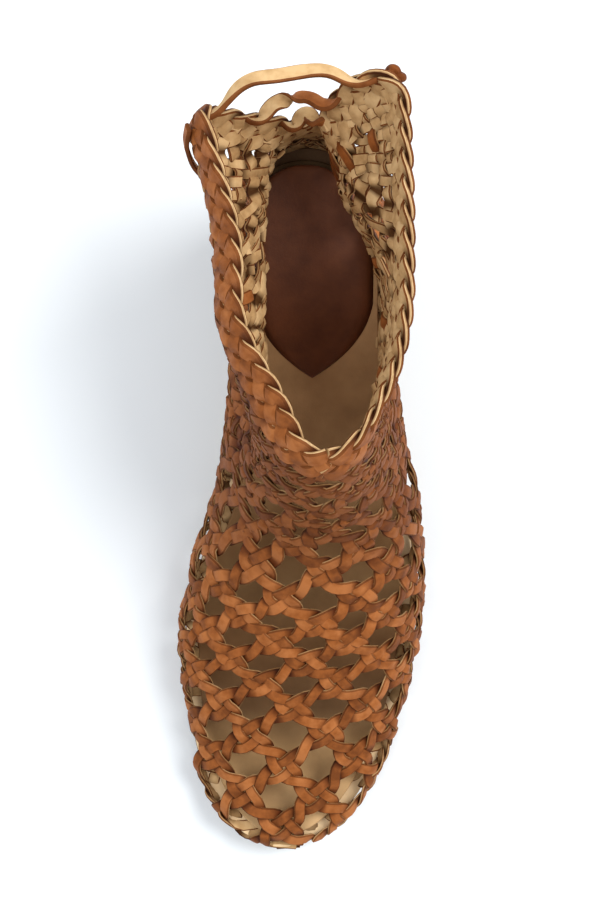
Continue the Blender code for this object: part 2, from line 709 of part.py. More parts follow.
def oriented_section(middle, along, across, width, thickness):
    """A flat strip's section square to its run."""
    along = along / np.linalg.norm(along)
    across = across - along * (across @ along)
    across = across / np.linalg.norm(across) * width / 2
    thick = np.cross(along, across)
    thick = thick / np.linalg.norm(thick) * thickness / 2
    corners = (-across - thick, across - thick, across + thick, thick - across)
    return [middle + corner for corner in corners]


def lace_bar(name, medial_drop, lateral_drop, bulge, rise, collection, finish):
    """A flat lace from the inner face of one band, out through the notch, to the inner face of the other."""
    rest = -(BAND_THICKNESS + LACE_THICKNESS) / 2 - LACE_GAP
    ends = lace_anchor(MEDIAL, medial_drop), lace_anchor(LATERAL, lateral_drop)
    seat = min(LACE_SEAT / (ends[1] - ends[0]), 0.4)
    shares = np.linspace(0, 1, LACE_STATIONS)
    middles, acrosses = [], []
    for u in shares:
        around = ends[0] + (ends[1] - ends[0]) * u
        drop = medial_drop + (lateral_drop - medial_drop) * u
        free = ease(min(u, 1 - u), seat, 0.5)
        normal = COLLAR.outward(around, drop)
        off = rest + (bulge - rest) * free
        middles.append(COLLAR.point(around, drop) + normal * off + [0, 0, rise * free])
        turn = math.radians(LACE_TILT) * free
        acrosses.append(np.array([0, 0, -math.cos(turn)]) + normal * math.sin(turn))
    runs = np.gradient(np.array(middles), axis=0)
    parts = zip(middles, runs, acrosses)
    sections = [oriented_section(m, run, across, LACE_WIDTH, LACE_THICKNESS) for m, run, across in parts]
    return loft(name, sections, collection, finish)


def knot(name, middle, normal, down, size, collection, finish):
    """A small knot as a plain rounded solid; size is beside, along the wall's normal and down."""
    beside = np.cross(down, normal)
    beside /= np.linalg.norm(beside)
    normal = np.cross(beside, down)
    ball = bmesh.new()
    bmesh.ops.create_uvsphere(ball, u_segments=8, v_segments=4, radius=0.5)
    axes = np.array([beside * size[0], normal * size[1], down * size[2]])
    points = [middle + np.array(v.co) @ axes for v in ball.verts]
    faces = [tuple(v.index for v in face.verts) for face in ball.faces]
    ball.free()
    return add_mesh(name, points, faces, collection, finish)


def tail_route(rows):
    """The line of a lace's free end, from its table of places."""
    places = table(rows)
    route = np.array([
        COLLAR.point(a, d) + COLLAR.outward(a, d) * off
        for a, d, off in zip(places["around"], places["drop"], places["off"])
    ])
    along = np.concatenate([[0], np.cumsum(np.linalg.norm(np.diff(route, axis=0), axis=1))])
    smooth = [curve([("s", "v"), *zip(along, route[:, axis])], "s", "v") for axis in range(3)]
    at = np.linspace(0, along[-1], round(along[-1] / TAIL_STEP) + 1)
    return np.array([[get(s) for get in smooth] for s in at])


def lace_tail(name, route, collection, finish):
    """The free end of a lace, hanging outside the shaft."""
    data = bpy.data.curves.new(name, "CURVE")
    data.dimensions = "3D"
    data.bevel_depth = TAIL_DIAMETER / 2 * MM
    data.bevel_resolution = 2
    data.use_fill_caps = True
    spline = data.splines.new("POLY")
    spline.points.add(len(route) - 1)
    for point, place in zip(spline.points, route):
        point.co = (*(place * MM), 1)
    data.materials.append(finish)
    made = bpy.data.objects.new(name, data)
    collection.objects.link(made)
    return made


def laces(collection, bar_finish, knot_finish):
    """Bars and stopper knots of the three laces, and the two tails with the knots that they end in."""
    for name, row in zip(LACE_NAMES, LACES[1:]):
        lace_bar(f"lace_bar_{name}", *row, collection, bar_finish)
        lateral_drop = row[1]
        place = (lace_anchor(LATERAL, lateral_drop), lateral_drop)
        normal = COLLAR.outward(*place)
        middle = COLLAR.point(*place) + normal * ((BAND_THICKNESS + STOP_SIZE[1]) / 2 + GAP)
        knot(f"lace_stop_{name}", middle, normal, np.array([0, 0, -1.0]), STOP_SIZE, collection, knot_finish)
    for name, rows in TAILS.items():
        route = tail_route(rows)
        lace_tail(f"lace_tail_{name}", route, collection, knot_finish)
        way = route[-1] - route[-2]
        way /= np.linalg.norm(way)
        middle = route[-1] + way * (KNOT_SIZE[2] / 2 + GAP)
        normal = COLLAR.outward(*rows[-1][:2])
        knot(f"lace_knot_{name}", middle, normal, way, KNOT_SIZE, collection, knot_finish)


for leftover in list(bpy.data.objects):
    bpy.data.objects.remove(leftover)

boot = new_collection("mid_heel_boot")
tools = new_collection("cutters")
COLLAR = Collar(NOTCH_DEPTH + 2 * BAND_WIDTH)

tan = material("tan_leather", (0.40, 0.165, 0.062), 0.55)
natural = material("natural_leather", (0.60, 0.40, 0.22), 0.65)
brown = material("brown_leather", (0.16, 0.055, 0.028), 0.6)
stacked = material("stacked_leather", (0.22, 0.11, 0.055), 0.6)
rubber = material("heel_rubber", (0.03, 0.02, 0.017), 0.8)

upper(boot, tools, tan)
plate("outsole", 0.0, -SOLE_THICKNESS, 0.0, boot, natural)
plate("insole", INSOLE_INSET, INSOLE_LOW, INSOLE_LOW + INSOLE_THICKNESS, boot, natural, INSOLE_STATIONS)
heel_pad(boot, brown)
heel_block(boot, stacked)
heel_lift(boot, rubber)
laces(boot, natural, tan)
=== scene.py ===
"""Looks of the mid-heel boot of hand-woven leather strips.

The weave, the plaited collar and the laces are made strip by strip on the same surface as the solids,
from the same tables, which are in millimetres. Toe towards -Y, lateral side at +X, +Z up.
"""
import math

import bmesh
import bpy
import numpy as np
from mathutils import Matrix, Vector


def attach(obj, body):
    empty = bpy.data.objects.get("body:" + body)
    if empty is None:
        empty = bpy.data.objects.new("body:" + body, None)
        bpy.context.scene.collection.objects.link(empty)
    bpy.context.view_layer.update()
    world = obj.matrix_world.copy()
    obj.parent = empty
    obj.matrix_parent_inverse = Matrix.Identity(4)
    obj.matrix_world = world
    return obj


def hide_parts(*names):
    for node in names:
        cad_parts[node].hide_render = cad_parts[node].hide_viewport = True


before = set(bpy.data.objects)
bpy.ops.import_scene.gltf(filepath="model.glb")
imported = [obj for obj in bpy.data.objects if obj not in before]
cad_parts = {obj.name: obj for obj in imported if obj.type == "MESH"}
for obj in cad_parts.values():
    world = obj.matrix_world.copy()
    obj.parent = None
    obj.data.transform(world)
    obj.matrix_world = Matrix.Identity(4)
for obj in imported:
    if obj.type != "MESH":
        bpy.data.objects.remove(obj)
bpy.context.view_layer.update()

MM = 0.001
GAP = 0.3                 # clearance between neighbouring solids
MEDIAL, LATERAL = -1, 1   # the two sides of the foot, as signs of X

# Sole
SOLE_THICKNESS = 4.0
TOE_TIP_Y = -210.5
HEEL_BACK_Y = 27.0
TOE_CAP_LENGTH = 80.0     # the outline closes in an ellipse this long at the toe
HEEL_CAP_LENGTH = 28.0
# The outline before its ends are rounded: y, x of the middle, half width.
OUTLINE = (
    ("y", "middle_x", "half_width"),
    (-210.5, -6.8, 40.0),
    (-189.0, -5.0, 40.0),
    (-168.0, -3.0, 40.0),
    (-148.0, -1.5, 40.0),
    (-128.0, 0.2, 40.0),
    (-109.0, 2.3, 37.0),
    (-89.0, 4.5, 32.0),
    (-69.0, 5.3, 27.7),
    (-49.0, 4.5, 25.6),
    (-29.0, 2.3, 26.2),
    (-9.0, 0.8, 27.3),
    (27.0, -0.6, 27.5),
)
# Height of the sole's upper face: toe spring, flat tread, arch, heel seat.
SOLE_TOP = (
    ("y", "z"),
    (-211.0, 12.0),
    (-199.0, 9.0),
    (-184.0, 6.0),
    (-166.0, SOLE_THICKNESS),
    (-124.0, SOLE_THICKNESS),
    (-104.0, 9.0),
    (-79.0, 21.5),
    (-49.0, 37.0),
    (-24.0, 49.0),
    (-9.0, 52.2),
    (6.0, 53.0),
    (28.0, 53.0),
)

# Heel
HEEL_BREAST_Y = -27.0     # front of the heel where it meets the sole
HEEL_INSET = 1.4          # heel inside the sole's edge
HEEL_TAPER = 0.84         # tread outline over seat outline
HEEL_WAIST = 0.035        # how far the sides draw in half way down
LIFT_THICKNESS = 5.0

# Inside of the shoe
MARGIN_THICKNESS = 1.7    # lower edge of the weave, turned in under the insole
INSOLE_THICKNESS = 2.0
INSOLE_INSET = 4.8
INSOLE_LOW = MARGIN_THICKNESS + 3 * GAP   # its underside over the sole's upper face
PAD_THICKNESS = 1.2
PAD_TIP_Y = -48.0
PAD_TIP_X = 2.4
PAD_HALF_WIDTH = 20.0
PAD_TAPER_LENGTH = 34.0
PAD_POINT = 2.9           # 1 is a straight-sided point, and more is rounder
PAD_INSET = 6.5

# Upper
WALL_INSET = 1.0          # middle of the wall inside the sole's edge
COLUMN_PITCH = 12.5       # half a period of the weave, round the foot
SEAM_COLUMNS = 11         # columns from the ridge to the back seam
SEAM_ROW = 23             # the row that reaches the sole's edge at the very back
TOE_ROWS = 2.0            # rows whose width comes from the sole's outline
THROAT_ROW = 12           # the collar's lines all cross the ridge above this row
# Sections of the wall, front to back. The widths run from the ridge to the widest place on each side;
# crown and tuck are the shares of a section over which it swells from the ridge and draws in to the base.
SECTIONS = (
    ("row", "ridge_x", "ridge_y", "ridge_z", "base_y", "seam_z", "medial", "lateral", "crown", "tuck"),
    (-1.0, -7.0, -210.3, 13.2, -210.2, 53.0, 3.1, 3.5, 0.80, 0.20),
    (0.0, -7.5, -202.5, 19.0, -195.5, 53.0, 22.5, 26.1, 0.80, 0.20),
    (1.0, -7.8, -190.5, 22.8, -184.0, 53.0, 28.2, 34.2, 0.78, 0.25),
    (3.0, -5.5, -168.5, 31.5, -162.5, 53.0, 33.0, 39.6, 0.76, 0.28),
    (5.0, -2.0, -150.0, 40.5, -143.0, 53.0, 39.8, 40.8, 0.74, 0.30),
    (7.0, 2.0, -135.5, 48.5, -124.5, 53.0, 43.1, 39.0, 0.74, 0.30),
    (9.0, 4.6, -121.0, 57.5, -103.5, 53.0, 41.7, 36.4, 0.74, 0.30),
    (11.0, 6.3, -103.0, 71.5, -79.5, 53.0, 36.1, 31.5, 0.74, 0.30),
    (13.0, 5.5, -94.0, 85.0, -55.5, 53.0, 31.6, 26.3, 0.70, 0.30),
    (15.0, 4.5, -87.5, 97.3, -35.0, 53.0, 29.5, 24.5, 0.66, 0.30),
    (18.0, 3.0, -79.0, 113.5, -6.0, 53.0, 30.0, 25.0, 0.62, 0.30),
    (20.0, 2.5, -71.5, 125.5, 13.0, 53.0, 29.5, 26.0, 0.53, 0.30),
    (23.0, 1.5, -61.0, 145.0, 27.0, 53.0, 30.0, 26.5, 0.36, 0.30),
    (26.5, -1.0, -48.0, 181.0, 29.0, 93.5, 29.0, 28.0, 0.36, 0.18),
    (30.0, -4.0, -38.0, 211.4, 32.0, 133.0, 30.0, 28.0, 0.36, 0.10),
)
# The empty shaft is slack: it is pinched at the ankle and its top leans outwards.
SHAFT = (
    ("z", "shift", "squeeze"),
    (53.0, 0.0, 1.00),
    (82.0, 2.6, 0.68),
    (112.0, -2.2, 0.93),
    (130.0, 3.6, 0.84),
)
SHAFT_FRONT_Y = -80.0     # the slack starts behind the front of the shaft
SHAFT_FULL_Y = -52.0
COLLAR_FOLD = 4.5         # the collar folds in over the medial front, between these heights and places
FOLD_Z = (108.0, 127.0)
FOLD_START_Y = (-76.0, -62.0)
FOLD_END_Y = (-58.0, -30.0)
# The medial side of the notch stands over to its own side, the lateral one stands out behind: x, y.
BACK_FLARE = {MEDIAL: (-7.0, 0.0), LATERAL: (0.5, 6.5)}
FLARE_Z = (90.0, 128.0)
FLARE_Y = (-20.0, 25.0)
HOLLOW = {MEDIAL: 2.5, LATERAL: 11.5}        # the walls sag in behind the ankle, mostly the lateral one
HOLLOW_START_Z = (59.5, 79.0)
HOLLOW_END_Z = (94.0, 124.0)
HOLLOW_Y = (-20.0, 12.0)
HOLLOW_OFF = 18.5                            # it is full at this distance from the seam

# Collar and the notch down its back
RIM_FRONT = (-71.5, 125.0)   # y, z
RIM_BACK = (32.0, 133.0)
BAND_WIDTH = 13.0
BAND_THICKNESS = 3.4
BAND_STEP = 7.5
BAND_TURN = 7.5              # radius of the band's middle line at the corners of the notch
NOTCH_DEPTH = 50.0
NOTCH_MEDIAL = 22.0          # from the seam to the notch's edge, along the rim
NOTCH_LATERAL = 13.0
NOTCH_TOOL_Y = -12.0         # the notch goes through the back wall only, from here on

# Laces: three flat strips across the notch, each held by a stopper knot outside the lateral band
LACE_WIDTH = 4.4
LACE_THICKNESS = 1.3
LACE_GAP = 2.1               # clearance between the curved band and the flat, seated end of a lace
LACE_SEAT = 8.0              # the length at each end that lies along a band's inner face
LACES = (
    ("medial_drop", "lateral_drop", "bulge", "rise"),
    (8.0, 8.0, 3.0, 7.0),
    (29.0, 20.0, 3.0, 3.0),
    (40.0, 31.0, 1.5, 1.0),
)
LACE_NAMES = ("top", "middle", "low")
STOP_SIZE = (7.0, 5.6, 6.2)  # along the rim, off the wall and down
KNOT_SIZE = (6.4, 5.6, 8.0)
# The free ends outside the medial band: places on the unrolled collar and how far they stand off the wall.
TAIL_STEP = 6.0
TAILS = {
    "top": (
        ("around", "drop", "off"),
        (-29.5, 9.0, 3.3),
        (-31.5, 12.5, 3.4),
        (-34.0, 19.0, 3.4),
        (-37.0, 28.0, 3.5),
        (-39.0, 37.0, 3.8),
        (-39.5, 45.0, 6.2),
    ),
    "low": (
        ("around", "drop", "off"),
        (-18.0, 30.0, 3.6),
        (-20.5, 33.0, 4.6),
        (-24.0, 39.0, 4.2),
        (-27.5, 46.0, 3.6),
        (-29.5, 52.0, 3.8),
        (-30.5, 58.0, 4.9),
    ),
}

# Strips of the weave
STRIP_WIDTH = 3.85
BALL_BROADER = 0.45       # strips are this much broader from the ball of the foot on
BALL_ROWS = (5.0, 8.0)
SHAFT_BROADER = 0.8       # and this much more in the shaft, where the lines spread
SHAFT_ROWS = (16.0, 19.0)
STRIP_THICKNESS = 1.2
STRIP_LIFT = 0.62         # how far a strip's middle lies off the wall where it crosses another
STRIP_STEP = 0.085        # samples along a strip, in rows of the weave
SHORTEST = 6              # stretches of no more samples than this are left out
LINES = range(-44, 46)    # the diagonal lines that reach the wall
FIRST_WEAVE_ROW = -0.9
PAIR_SPACE = 1.04         # distance between a pair's middle lines, over their width
PAIR_REACH = (0.205, 0.30)    # the same distance in rows is kept between these
EVEN_REACH = 0.25         # and is this where all strips lie evenly
ROOM_SHARE = 1.06         # strips are narrowed to this share of that distance
SWAP_REACH = 0.30         # share of an edge, each way from its middle, over which a pair swaps sides
TUCK_IN = 6.5             # how far the strips run in under the insole
TURN_HEIGHT = 1.3         # middle of the turned-in strips over the sole
UNDER_BAND = 3.0          # how far they run up under the collar's plait
ROLL = 12.0               # degrees by which strips lean about their run
SHAFT_ROLL = 6.0          # and this many more in the shaft
GRAIN_SHADE_FROM = (-0.35, 0.85)  # depths under another strip between which the grain side gets painted shade
FLESH_SHADE_FROM = (-0.6, 0.6)    # heights over another strip between which the flesh side gets painted shade

# Where the weave closes up, and strips of their own come between the pairs
DENSE_ROWS = (14.2, 15.8)
DENSE_LOWER = 5.0         # rows by which it closes up lower on both sides of the throat
DENSE_SIDES = (4.0, 7.0)  # columns
DENSE_APART = (5.4, 6.4)  # it does only where its lines lie this far apart
IS_DENSE = 0.5            # the share from which the weave counts as closed
BETWEEN_DEPTH = 2.2       # the strips between the pairs start this deep
BETWEEN_RISE = 0.3        # and come up over this share

# Where the strips are crowded in the throat
CROWD_ROWS = (9.0, 12.0)
CROWD_SIDES = (4.0, 8.0)  # columns
CROWD_SQUEEZE = 0.28      # how much closer the columns lie
CROWD_OVERLAP = 0.22      # how much broader the strips may be than their room
CROWD_ROLL = -8.0
# share of painted shade laid over the crowded throat
CROWD_SHADE = 0.45
CROWD_UNEVEN = 1.9        # how much more uneven the weave is there

# The hand's unevenness in rows and in columns, as waves: size, turn by row and by column, start
UNEVEN_ROWS = ((0.055, 2.1, 1.3, 0.7), (0.045, -1.9, 4.3, 2.0))
UNEVEN_COLUMNS = ((0.055, -2.3, 1.7, 1.1), (0.04, 3.7, 2.9, 0.0))
UNEVEN_WIDTH = 0.05       # share by which a strip's width swells and shrinks

# Grid of the wall's surface, in rows and columns
GRID = 0.1
SPARE_COLUMNS = 3         # the grid goes on past the seam
SMOOTHING = 0.13          # reach of the smoothing across the columns
SEAM_BLEND = 5            # rows over which the columns spread evenly up to the seam
SEAM_OVERLAP = 0.05       # columns by which the strips run past the back seam

# Short stretches of strips that the hand has turned over, as they show inside: rows and columns at both ends
TURNED = (
    ((25.2, 10.0), (24.6, 8.6)),
    ((26.1, 9.9), (25.6, 8.6)),
    ((27.0, 9.1), (26.5, 8.5)),
    ((25.6, 10.1), (25.0, 9.0)),
    ((20.6, 4.6), (19.9, 5.2)),
    ((21.8, 6.4), (21.1, 6.9)),
    ((20.4, 2.9), (19.8, 3.3)),
    ((23.2, -8.4), (22.4, -8.0)),
    ((21.6, -5.4), (21.0, -6.0)),
)
TURNED_LIFT = 1.5         # how far they stand in from the wall's middle
TURNED_ROUND = 0.6        # below 1 they bulge more evenly
TURNED_SECTIONS = 24

# Plait of the collar
PLAIT_STRANDS = 4
PLAIT_PERIOD = 32.0
PLAIT_STRAND_WIDTH = 5.6
PLAIT_STRAND_THICKNESS = 2.0
PLAIT_SWING = 3.9
PLAIT_ROUNDING = 0.80     # 1 rounds the strands' turns off wholly
PLAIT_LIFT = 0.95
PLAIT_OUT = 0.3           # the plait stands out of the wall's middle
PLAIT_STEP = 0.9

# Looks of the laces
BAR_START = 0.45          # share of the seat at each end that lies inside the band
BAR_SKEW = 0.75           # below 1 its highest place lies nearer the medial band
BAR_ROUND = 1.3           # above 1 its arch rises more softly from its seats
BAR_SEAT_MOST = 0.4       # a seat is no more than this share of a bar
BAR_BROADER = 1.12
BAR_THICKER = 1.3
BAR_SMOOTHINGS = 3        # a bar's line is averaged this often
BAR_AVERAGED = 7          # over so many of its points
KNOT_STRAND = 0.25        # radius of a knot's strand over the knot's smallest side
LACE_TONES = {"top": 0.8, "middle": 0.6, "low": 0.55}
LACE_FLATTER = {"top": 1.0, "middle": 0.5, "low": 0.7}
# Shares of a lace's length and by how many degrees it is turned there.
LACE_TWISTS = {
    "top": ((0.0, 0.0), (0.3, 50.0), (0.5, 62.0), (0.75, 55.0), (1.0, 10.0)),
    "middle": ((0.0, 0.0), (0.25, 62.0), (0.42, 80.0), (0.56, 232.0), (0.8, 240.0), (1.0, 190.0)),
    "low": ((0.0, 0.0), (0.5, 62.0), (1.0, 0.0)),
}
TAIL_WIDTH = 3.8
TAIL_TONE = 0.4
TAIL_POINTS = 60

# Insole, sole and heel
# The insole's color from the toe (0) to the heel (1), between two places along Y in metres, with painted
# light and shade: light at the toe's tip, darkest where the toes press (painted shade and wear), dark under
# the weave, light ahead of and beside the heel pad, and painted shade at the back around the pad.
INSOLE_TONES_FROM, INSOLE_TONES_TO = -0.21, 0.03
INSOLE_TONES = (
    (0.02, (0.68, 0.44, 0.22)),
    (0.14, (0.60, 0.37, 0.17)),
    (0.20, (0.27, 0.15, 0.07)),
    (0.29, (0.27, 0.14, 0.06)),
    (0.38, (0.33, 0.19, 0.085)),
    (0.46, (0.31, 0.165, 0.07)),
    (0.57, (0.72, 0.42, 0.20)),
    (0.88, (0.72, 0.42, 0.20)),
    (0.93, (0.10, 0.058, 0.026)),
)
MARGIN_HEEL_SHADE = (-0.03, 0.0)    # the lasting margin turns to painted shade towards the heel between these places along Y, in metres
SLAB_STATIONS = 121
SLAB_END = 0.02           # how far a slab's rings stop short of their ends
HEEL_LAYERS = 10
LAYER_EDGE = ((0.006, 0.992), (0.02, 1.0))    # from a layer's face, as a share of the block, and scale there
PAD_ROWS = 61
PAD_COLUMNS = 15
PAD_EDGE = 0.5            # reach of the pad's rounded edge

# Camera
CAMERA_PLACE = Vector((-25.0, -74.0, 657.0)) * MM
CAMERA_AIM = Vector((-2.4, -72.0, 62.0)) * MM
LENS = 74.0


def table(rows):
    """The rows as a dictionary of named columns."""
    return dict(zip(rows[0], np.array(rows[1:], float).T))


def curve(rows, along, name):
    """A smooth function through one column of a table, which never overshoots its values."""
    columns = table(rows)
    xs, ys = columns[along], columns[name]
    rises = np.diff(ys) / np.diff(xs)
    same = rises[:-1] * rises[1:] > 0
    inner = np.where(same, 2 * rises[:-1] * rises[1:] / np.where(same, rises[:-1] + rises[1:], 1), 0)
    slopes = np.concatenate([rises[:1], inner, rises[-1:]])

    def at(x):
        x = np.clip(x, xs[0], xs[-1])
        k = np.clip(np.searchsorted(xs, x, side="right") - 1, 0, len(xs) - 2)
        step = xs[k + 1] - xs[k]
        u = (x - xs[k]) / step
        return (
            (1 + 2 * u) * (1 - u) ** 2 * ys[k]
            + u * (1 - u) ** 2 * step * slopes[k]
            + u * u * (3 - 2 * u) * ys[k + 1]
            + u * u * (u - 1) * step * slopes[k + 1]
        )

    return at


def ease(x, start, end):
    """0 before start, 1 after end, smooth between."""
    u = np.clip((x - start) / (end - start), 0, 1)
    return u * u * (3 - 2 * u)


def unit(vectors):
    """The vectors at length 1."""
    return vectors / np.linalg.norm(vectors, axis=-1, keepdims=True)


def distances(points):
    """How far along the line each of its points lies."""
    return np.concatenate([[0], np.cumsum(np.linalg.norm(np.diff(points, axis=0), axis=1))])


def places_along(points, along, at):
    """Places of a polyline at these distances along it."""
    return np.stack([np.interp(at, along, axis) for axis in points.T], axis=-1)


def smooth_line(points, count):
    """Evenly spaced places of the smooth line through the points."""
    along = distances(points)
    smooth = [curve([("s", "v"), *zip(along, axis)], "s", "v") for axis in points.T]
    return np.array([[get(s) for get in smooth] for s in np.linspace(0, along[-1], count)])


# ---------------------------------------------------------------- surface of the upper

SECTION = {name: curve(SECTIONS, "row", name) for name in SECTIONS[0][1:]}
MIDDLE_X = curve(OUTLINE, "y", "middle_x")
HALF_WIDTH = curve(OUTLINE, "y", "half_width")
SOLE_TOP_Z = curve(SOLE_TOP, "y", "z")
SHAFT_SHIFT = curve(SHAFT, "z", "shift")
SHAFT_SQUEEZE = curve(SHAFT, "z", "squeeze")


def sole_x(y, side, inset=0.0):
    """X of the sole's edge at y, drawn in by inset."""
    toe = np.clip((TOE_TIP_Y + TOE_CAP_LENGTH - y) / (TOE_CAP_LENGTH - inset), 0, 1)
    heel = np.clip((y - HEEL_BACK_Y + HEEL_CAP_LENGTH) / (HEEL_CAP_LENGTH - inset), 0, 1)
    half = (HALF_WIDTH(y) - inset) * np.sqrt(1 - toe**2) * np.sqrt(1 - heel**2)
    return MIDDLE_X(y) + side * half


def wall_point(row, t, side):
    """A point of the wall's middle surface, at the share t of the way from the ridge to the base."""
    at = {name: get(row) for name, get in SECTION.items()}
    base_x = np.where(row < SEAM_ROW, np.abs(sole_x(at["base_y"], side, WALL_INSET) - at["ridge_x"]), 0)
    broad = at["medial"] if side == MEDIAL else at["lateral"]
    broad = base_x + 1 + (broad - base_x - 1) * ease(row, 0, TOE_ROWS)
    edge = np.clip(base_x / broad, 0, 1)
    swell = np.sqrt(1 - (1 - np.clip(t / at["crown"], 0, 1)) ** 2)
    draw = np.sqrt(1 - (1 - edge**2) * (1 - np.clip((1 - t) / at["tuck"], 0, 1)) ** 2)
    base_z = np.where(row < SEAM_ROW, SOLE_TOP_Z(at["base_y"]), at["seam_z"])
    y = at["ridge_y"] + (at["base_y"] - at["ridge_y"]) * t
    z = at["ridge_z"] + (base_z - at["ridge_z"]) * t
    slack = ease(y, SHAFT_FRONT_Y, SHAFT_FULL_Y)
    squeeze = 1 + (SHAFT_SQUEEZE(z) - 1) * slack
    fold = COLLAR_FOLD * ease(z, *FOLD_Z) * ease(y, *FOLD_START_Y) * (1 - ease(y, *FOLD_END_Y))
    flare = ease(z, *FLARE_Z) * ease(y, *FLARE_Y)
    shift = SHAFT_SHIFT(z) * slack + BACK_FLARE[side][0] * flare
    reach = broad * swell * draw * squeeze
    hollow = HOLLOW[side] * ease(z, *HOLLOW_START_Z) * (1 - ease(z, *HOLLOW_END_Z)) * ease(y, *HOLLOW_Y)
    reach = reach - hollow * ease(reach, 0, HOLLOW_OFF)
    x = at["ridge_x"] + side * reach + shift + (fold if side == MEDIAL else 0)
    return np.stack(np.broadcast_arrays(x, y + BACK_FLARE[side][1] * flare, z), axis=-1)


def section_length(row, side, samples=60):
    """Shares t along a section and the distance of each from the ridge."""
    t = np.sin(np.linspace(0, math.pi / 2, samples)) ** 2
    return t, distances(wall_point(row, t, side))


def column_pitch(row, length):
    """Width of a column in a section of this length; towards the seam the columns spread evenly."""
    return COLUMN_PITCH + (length / SEAM_COLUMNS - COLUMN_PITCH) * ease(row, SEAM_ROW - SEAM_BLEND, SEAM_ROW)


def rim_z(y, drop=0.0):
    """Height of the line that lies drop below the collar's rim."""
    slope = (RIM_BACK[1] - RIM_FRONT[1]) / (RIM_BACK[0] - RIM_FRONT[0])
    return RIM_FRONT[1] - drop + slope * (y - RIM_FRONT[0])


def level_line(drop, side, samples=80):
    """The wall's points drop below the rim, from the back seam to the front of the throat."""
    rows = np.linspace(THROAT_ROW, SECTIONS[-1][0], 600)
    ridge_y, ridge_z = SECTION["ridge_y"](rows), SECTION["ridge_z"](rows)
    base_y = SECTION["base_y"](rows)
    base_z = np.where(rows < SEAM_ROW, SOLE_TOP_Z(base_y), SECTION["seam_z"](rows))
    over = ridge_z - rim_z(ridge_y, drop)
    under = base_z - rim_z(base_y, drop)
    front = np.interp(0, over, rows)
    back = np.interp(0, under, rows)
    u = np.linspace(0, math.pi, samples)
    rows_on = back + (front - back) * (1 - np.cos(u)) / 2
    over_on, under_on = np.interp(rows_on, rows, over), np.interp(rows_on, rows, under)
    share = over_on / (over_on - under_on)
    points = np.array([wall_point(r, np.clip(s, 0, 1), side) for r, s in zip(rows_on, share)])
    return distances(points), points


class Collar:
    """The top of the shaft, unrolled: around runs along the rim from the back seam (lateral side positive,
    the throat's middle at both ends), drop runs down from the rim."""

    def __init__(self, deepest, step=3.0):
        self.drops = np.arange(-2 * step, deepest + step, step)
        self.lines = {side: [level_line(d, side) for d in self.drops] for side in (MEDIAL, LATERAL)}
        middle = np.searchsorted(self.drops, BAND_WIDTH / 2)
        self.reach = {side: self.lines[side][middle][0][-1] for side in (MEDIAL, LATERAL)}

    def point(self, around, drop):
        """The wall's middle surface there."""
        side = MEDIAL if around < 0 else LATERAL
        share = abs(around) / self.reach[side]
        step = self.drops[1] - self.drops[0]
        k = int(np.clip((drop - self.drops[0]) / step, 0, len(self.drops) - 2))
        upper, lower = (
            places_along(points, along, share * along[-1]) for along, points in self.lines[side][k : k + 2]
        )
        u = (drop - self.drops[k]) / step
        return upper * (1 - u) + lower * u

    def outward(self, around, drop):
        """The wall's outward normal there."""
        over = self.point(around + 1.5, drop) - self.point(around - 1.5, drop)
        down = self.point(around, drop + 1.5) - self.point(around, drop - 1.5)
        return unit(np.cross(over, down))


def rounded_path(corners, radii, step):
    """Points along the polyline with its inner corners rounded, evenly spaced."""
    points = [np.array(corners[0], float)]
    for before, corner, after, radius in zip(corners, corners[1:], corners[2:], radii):
        a, b, c = (np.array(p, float) for p in (before, corner, after))
        to_a, to_c = unit(a - b), unit(c - b)
        half = math.acos(np.clip(to_a @ to_c, -1, 1)) / 2
        start, end = b + to_a * radius / math.tan(half), b + to_c * radius / math.tan(half)
        middle = unit(to_a + to_c) * radius / math.sin(half) + b
        for u in np.linspace(0, 1, 10):
            points.append(middle + unit(start + (end - start) * u - middle) * radius)
    points.append(np.array(corners[-1], float))
    points = np.array(points)
    along = distances(points)
    return places_along(points, along, np.linspace(0, along[-1], round(along[-1] / step) + 1))


def band_path(step):
    """The middle of the collar band on the unrolled collar: from the throat's middle along the lateral rim,
    down and up the notch, and along the medial rim to the throat again."""
    half = BAND_WIDTH / 2
    corners = (
        (COLLAR.reach[LATERAL], half),
        (NOTCH_LATERAL + half + 2, half),
        (0, NOTCH_DEPTH + 2 * half),
        (-NOTCH_MEDIAL - half - 2, half),
        (-COLLAR.reach[MEDIAL], half),
    )
    return rounded_path(corners, (BAND_TURN, BAND_TURN, BAND_TURN), step)


def lace_anchor(side, drop):
    """The middle of the band beside the notch, at this drop, as a place on the unrolled collar."""
    path = band_path(BAND_STEP / 4)
    path = path[(np.sign(path[:, 0]) == side) & (path[:, 1] > BAND_WIDTH / 2 + 0.1)]
    return path[np.argmin(np.abs(path[:, 1] - drop)), 0]


def tail_route(rows):
    """The line of a lace's free end, from its table of places."""
    places = table(rows)
    route = np.array([
        COLLAR.point(a, d) + COLLAR.outward(a, d) * off
        for a, d, off in zip(places["around"], places["drop"], places["off"])
    ])
    return smooth_line(route, round(distances(route)[-1] / TAIL_STEP) + 1)


COLLAR = Collar(NOTCH_DEPTH + 2 * BAND_WIDTH)


def edge_inward(row, reach=0.04):
    """Level directions from the wall's foot in over the sole, one for each side."""
    found = {}
    for side in (MEDIAL, LATERAL):
        before, after = wall_point(row - reach, 1.0, side), wall_point(row + reach, 1.0, side)
        way = after - before
        middle = np.array([MIDDLE_X(after[1]), after[1] + 8 * (1 if row < 3 else 0), 0])
        across = np.array([-way[1], way[0], 0]) if np.hypot(way[0], way[1]) > 1e-6 else np.array([0, 1.0, 0])
        across = unit(across)
        to_middle = middle - after
        found[side] = across if across[:2] @ to_middle[:2] > 0 else -across
    return found


